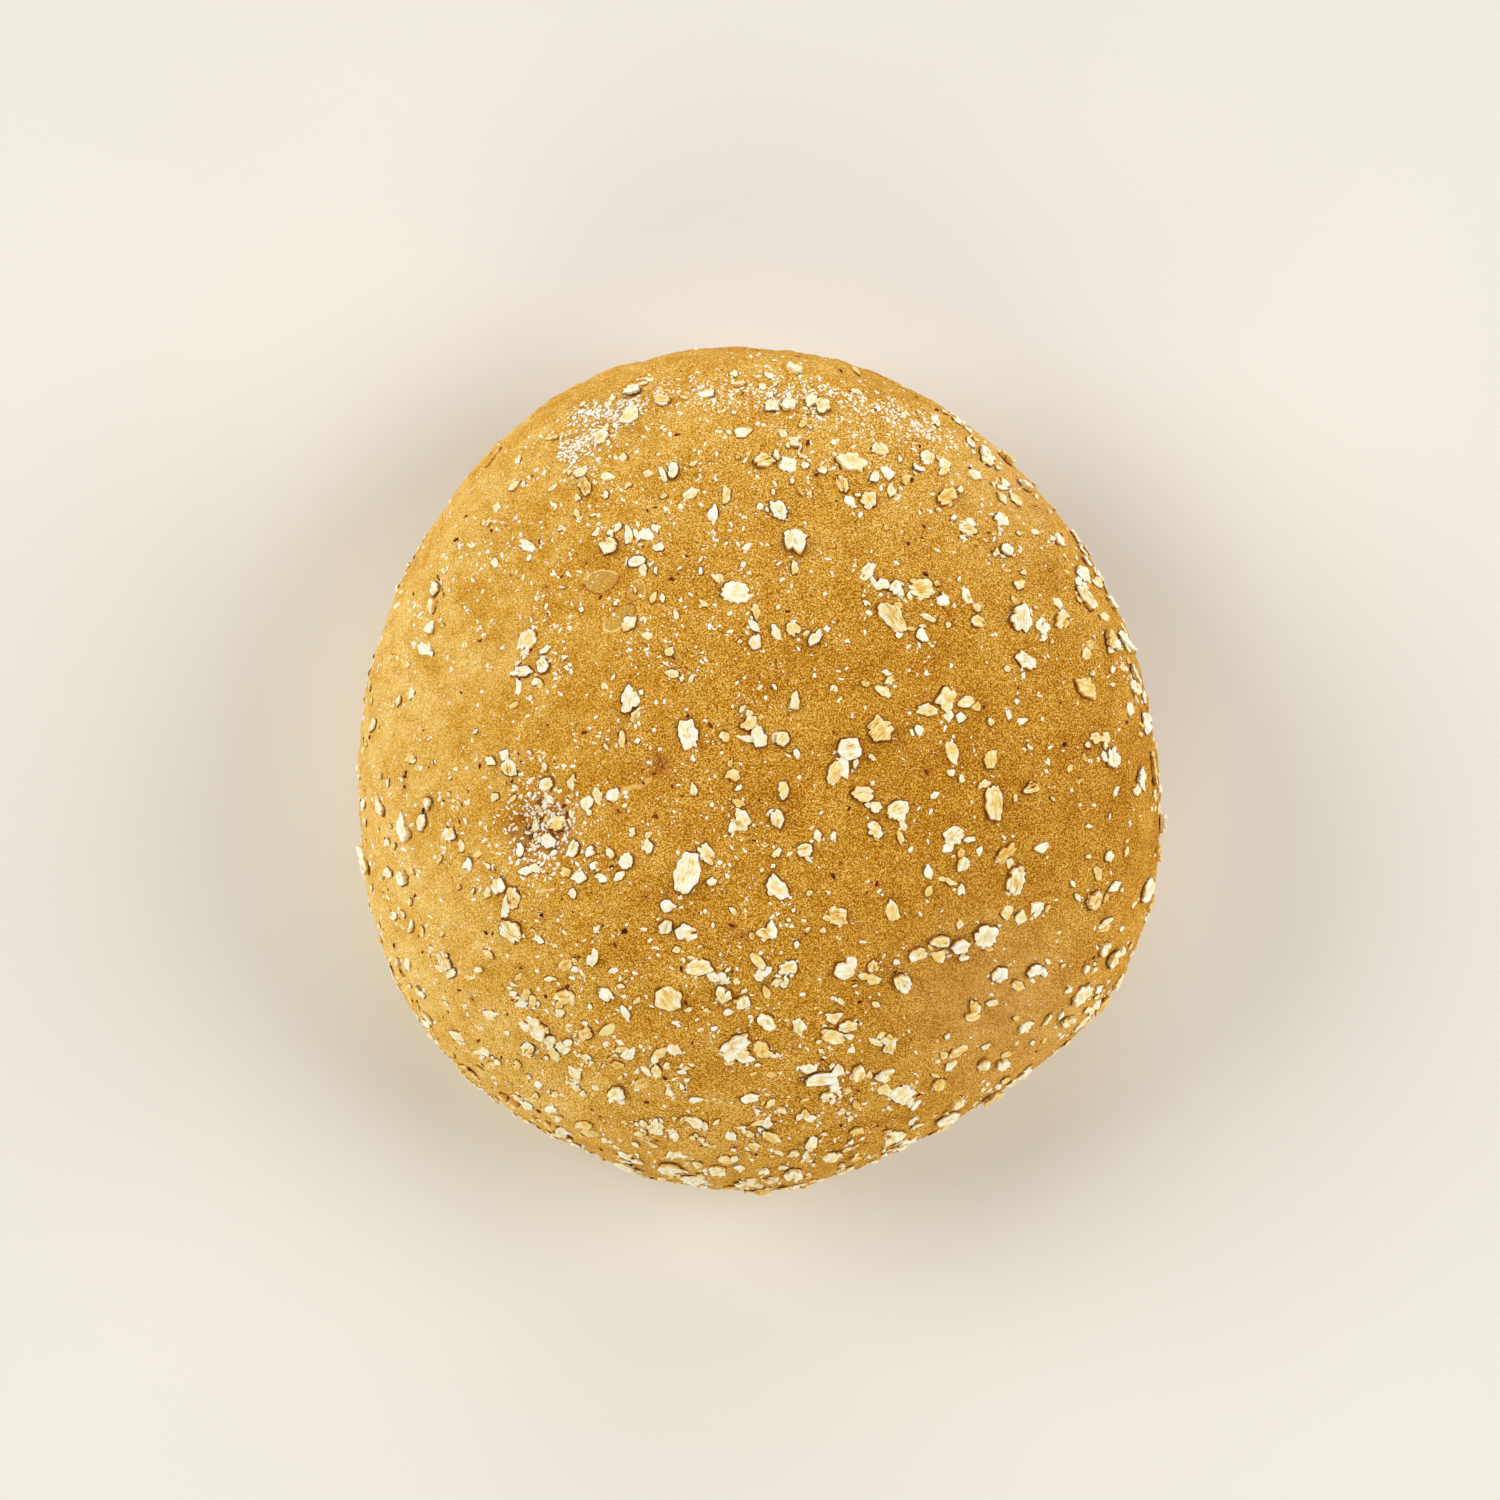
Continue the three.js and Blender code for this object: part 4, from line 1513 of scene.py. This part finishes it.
def make_bran(directions, rng):
    sizes = small_sizes(rng, BRAN_SIZES, len(directions))
    finish = plain_finish("bran", BRAN_COLOURS, BRAN_CLOUD_SIZE)
    make_grains("bran_specks", directions, sizes, BRAN_FLATNESS, finish, rng)


def make_floor():
    bpy.ops.mesh.primitive_circle_add(vertices=FLOOR_SIDES, radius=FLOOR_RADIUS * MM, fill_type="NGON")
    floor = bpy.context.object
    floor.name = "floor"
    floor.data.materials.append(plain_finish("floor_pale", FLOOR_COLOURS, FLOOR_CLOUD_SIZE))


def add_lamp(name, position, strength, colour):
    light = bpy.data.lights.new(name, "SUN")
    light.angle = math.radians(LAMP_ANGLE)
    light.energy = strength
    light.color = colour
    lamp = bpy.data.objects.new(name, light)
    lamp.location = position
    lamp.rotation_euler = (-lamp.location).to_track_quat("-Z", "Y").to_euler()
    bpy.context.collection.objects.link(lamp)


def make_studio():
    world = bpy.data.worlds.new("studio")
    world.use_nodes = True
    tree = world.node_tree
    axes = tree.nodes.new("ShaderNodeSeparateXYZ")
    walls = tree.nodes.new("ShaderNodeValToRGB")
    walls.color_ramp.elements[0].position = WALL_TOP
    walls.color_ramp.elements[0].color = WALL_COLOUR
    walls.color_ramp.elements[1].position = CEILING_RISE
    walls.color_ramp.elements[1].color = CEILING_COLOUR
    tree.links.new(tree.nodes.new("ShaderNodeTexCoord").outputs["Generated"], axes.inputs["Vector"])
    tree.links.new(axes.outputs["Z"], walls.inputs["Fac"])
    tree.links.new(walls.outputs["Color"], tree.nodes["Background"].inputs["Color"])
    bpy.context.scene.world = world


def make_light():
    make_studio()
    for name, lamp in LAMPS.items():
        add_lamp(name, *lamp)


def make_camera():
    camera = bpy.data.cameras.new("camera")
    camera.sensor_fit = "HORIZONTAL"
    camera.angle = 2 * math.atan(FRAME_WIDTH / 2 / CAMERA_AT[2])
    viewer = bpy.data.objects.new("camera", camera)
    viewer.location = np.array(CAMERA_AT) * MM
    bpy.context.collection.objects.link(viewer)
    bpy.context.scene.camera = viewer
    bpy.context.scene.view_settings.view_transform = "Standard"


strewn_rng = np.random.default_rng(STREWN_SEED)
all_flakes = lay_flakes()
flakes_at = np.array([flake["direction"] for flake in all_flakes])
bran_at = scatter(strewn_rng, BRAN_COUNT, bran_density)
make_crust(detailed_points(bran_at[:BRAN_WITH_STAIN]))
make_flakes(all_flakes, strewn_rng)
make_crumbs(flakes_at, strewn_rng)
make_grit(flakes_at, strewn_rng)
make_bran(bran_at, strewn_rng)
make_floor()
make_light()
make_camera()
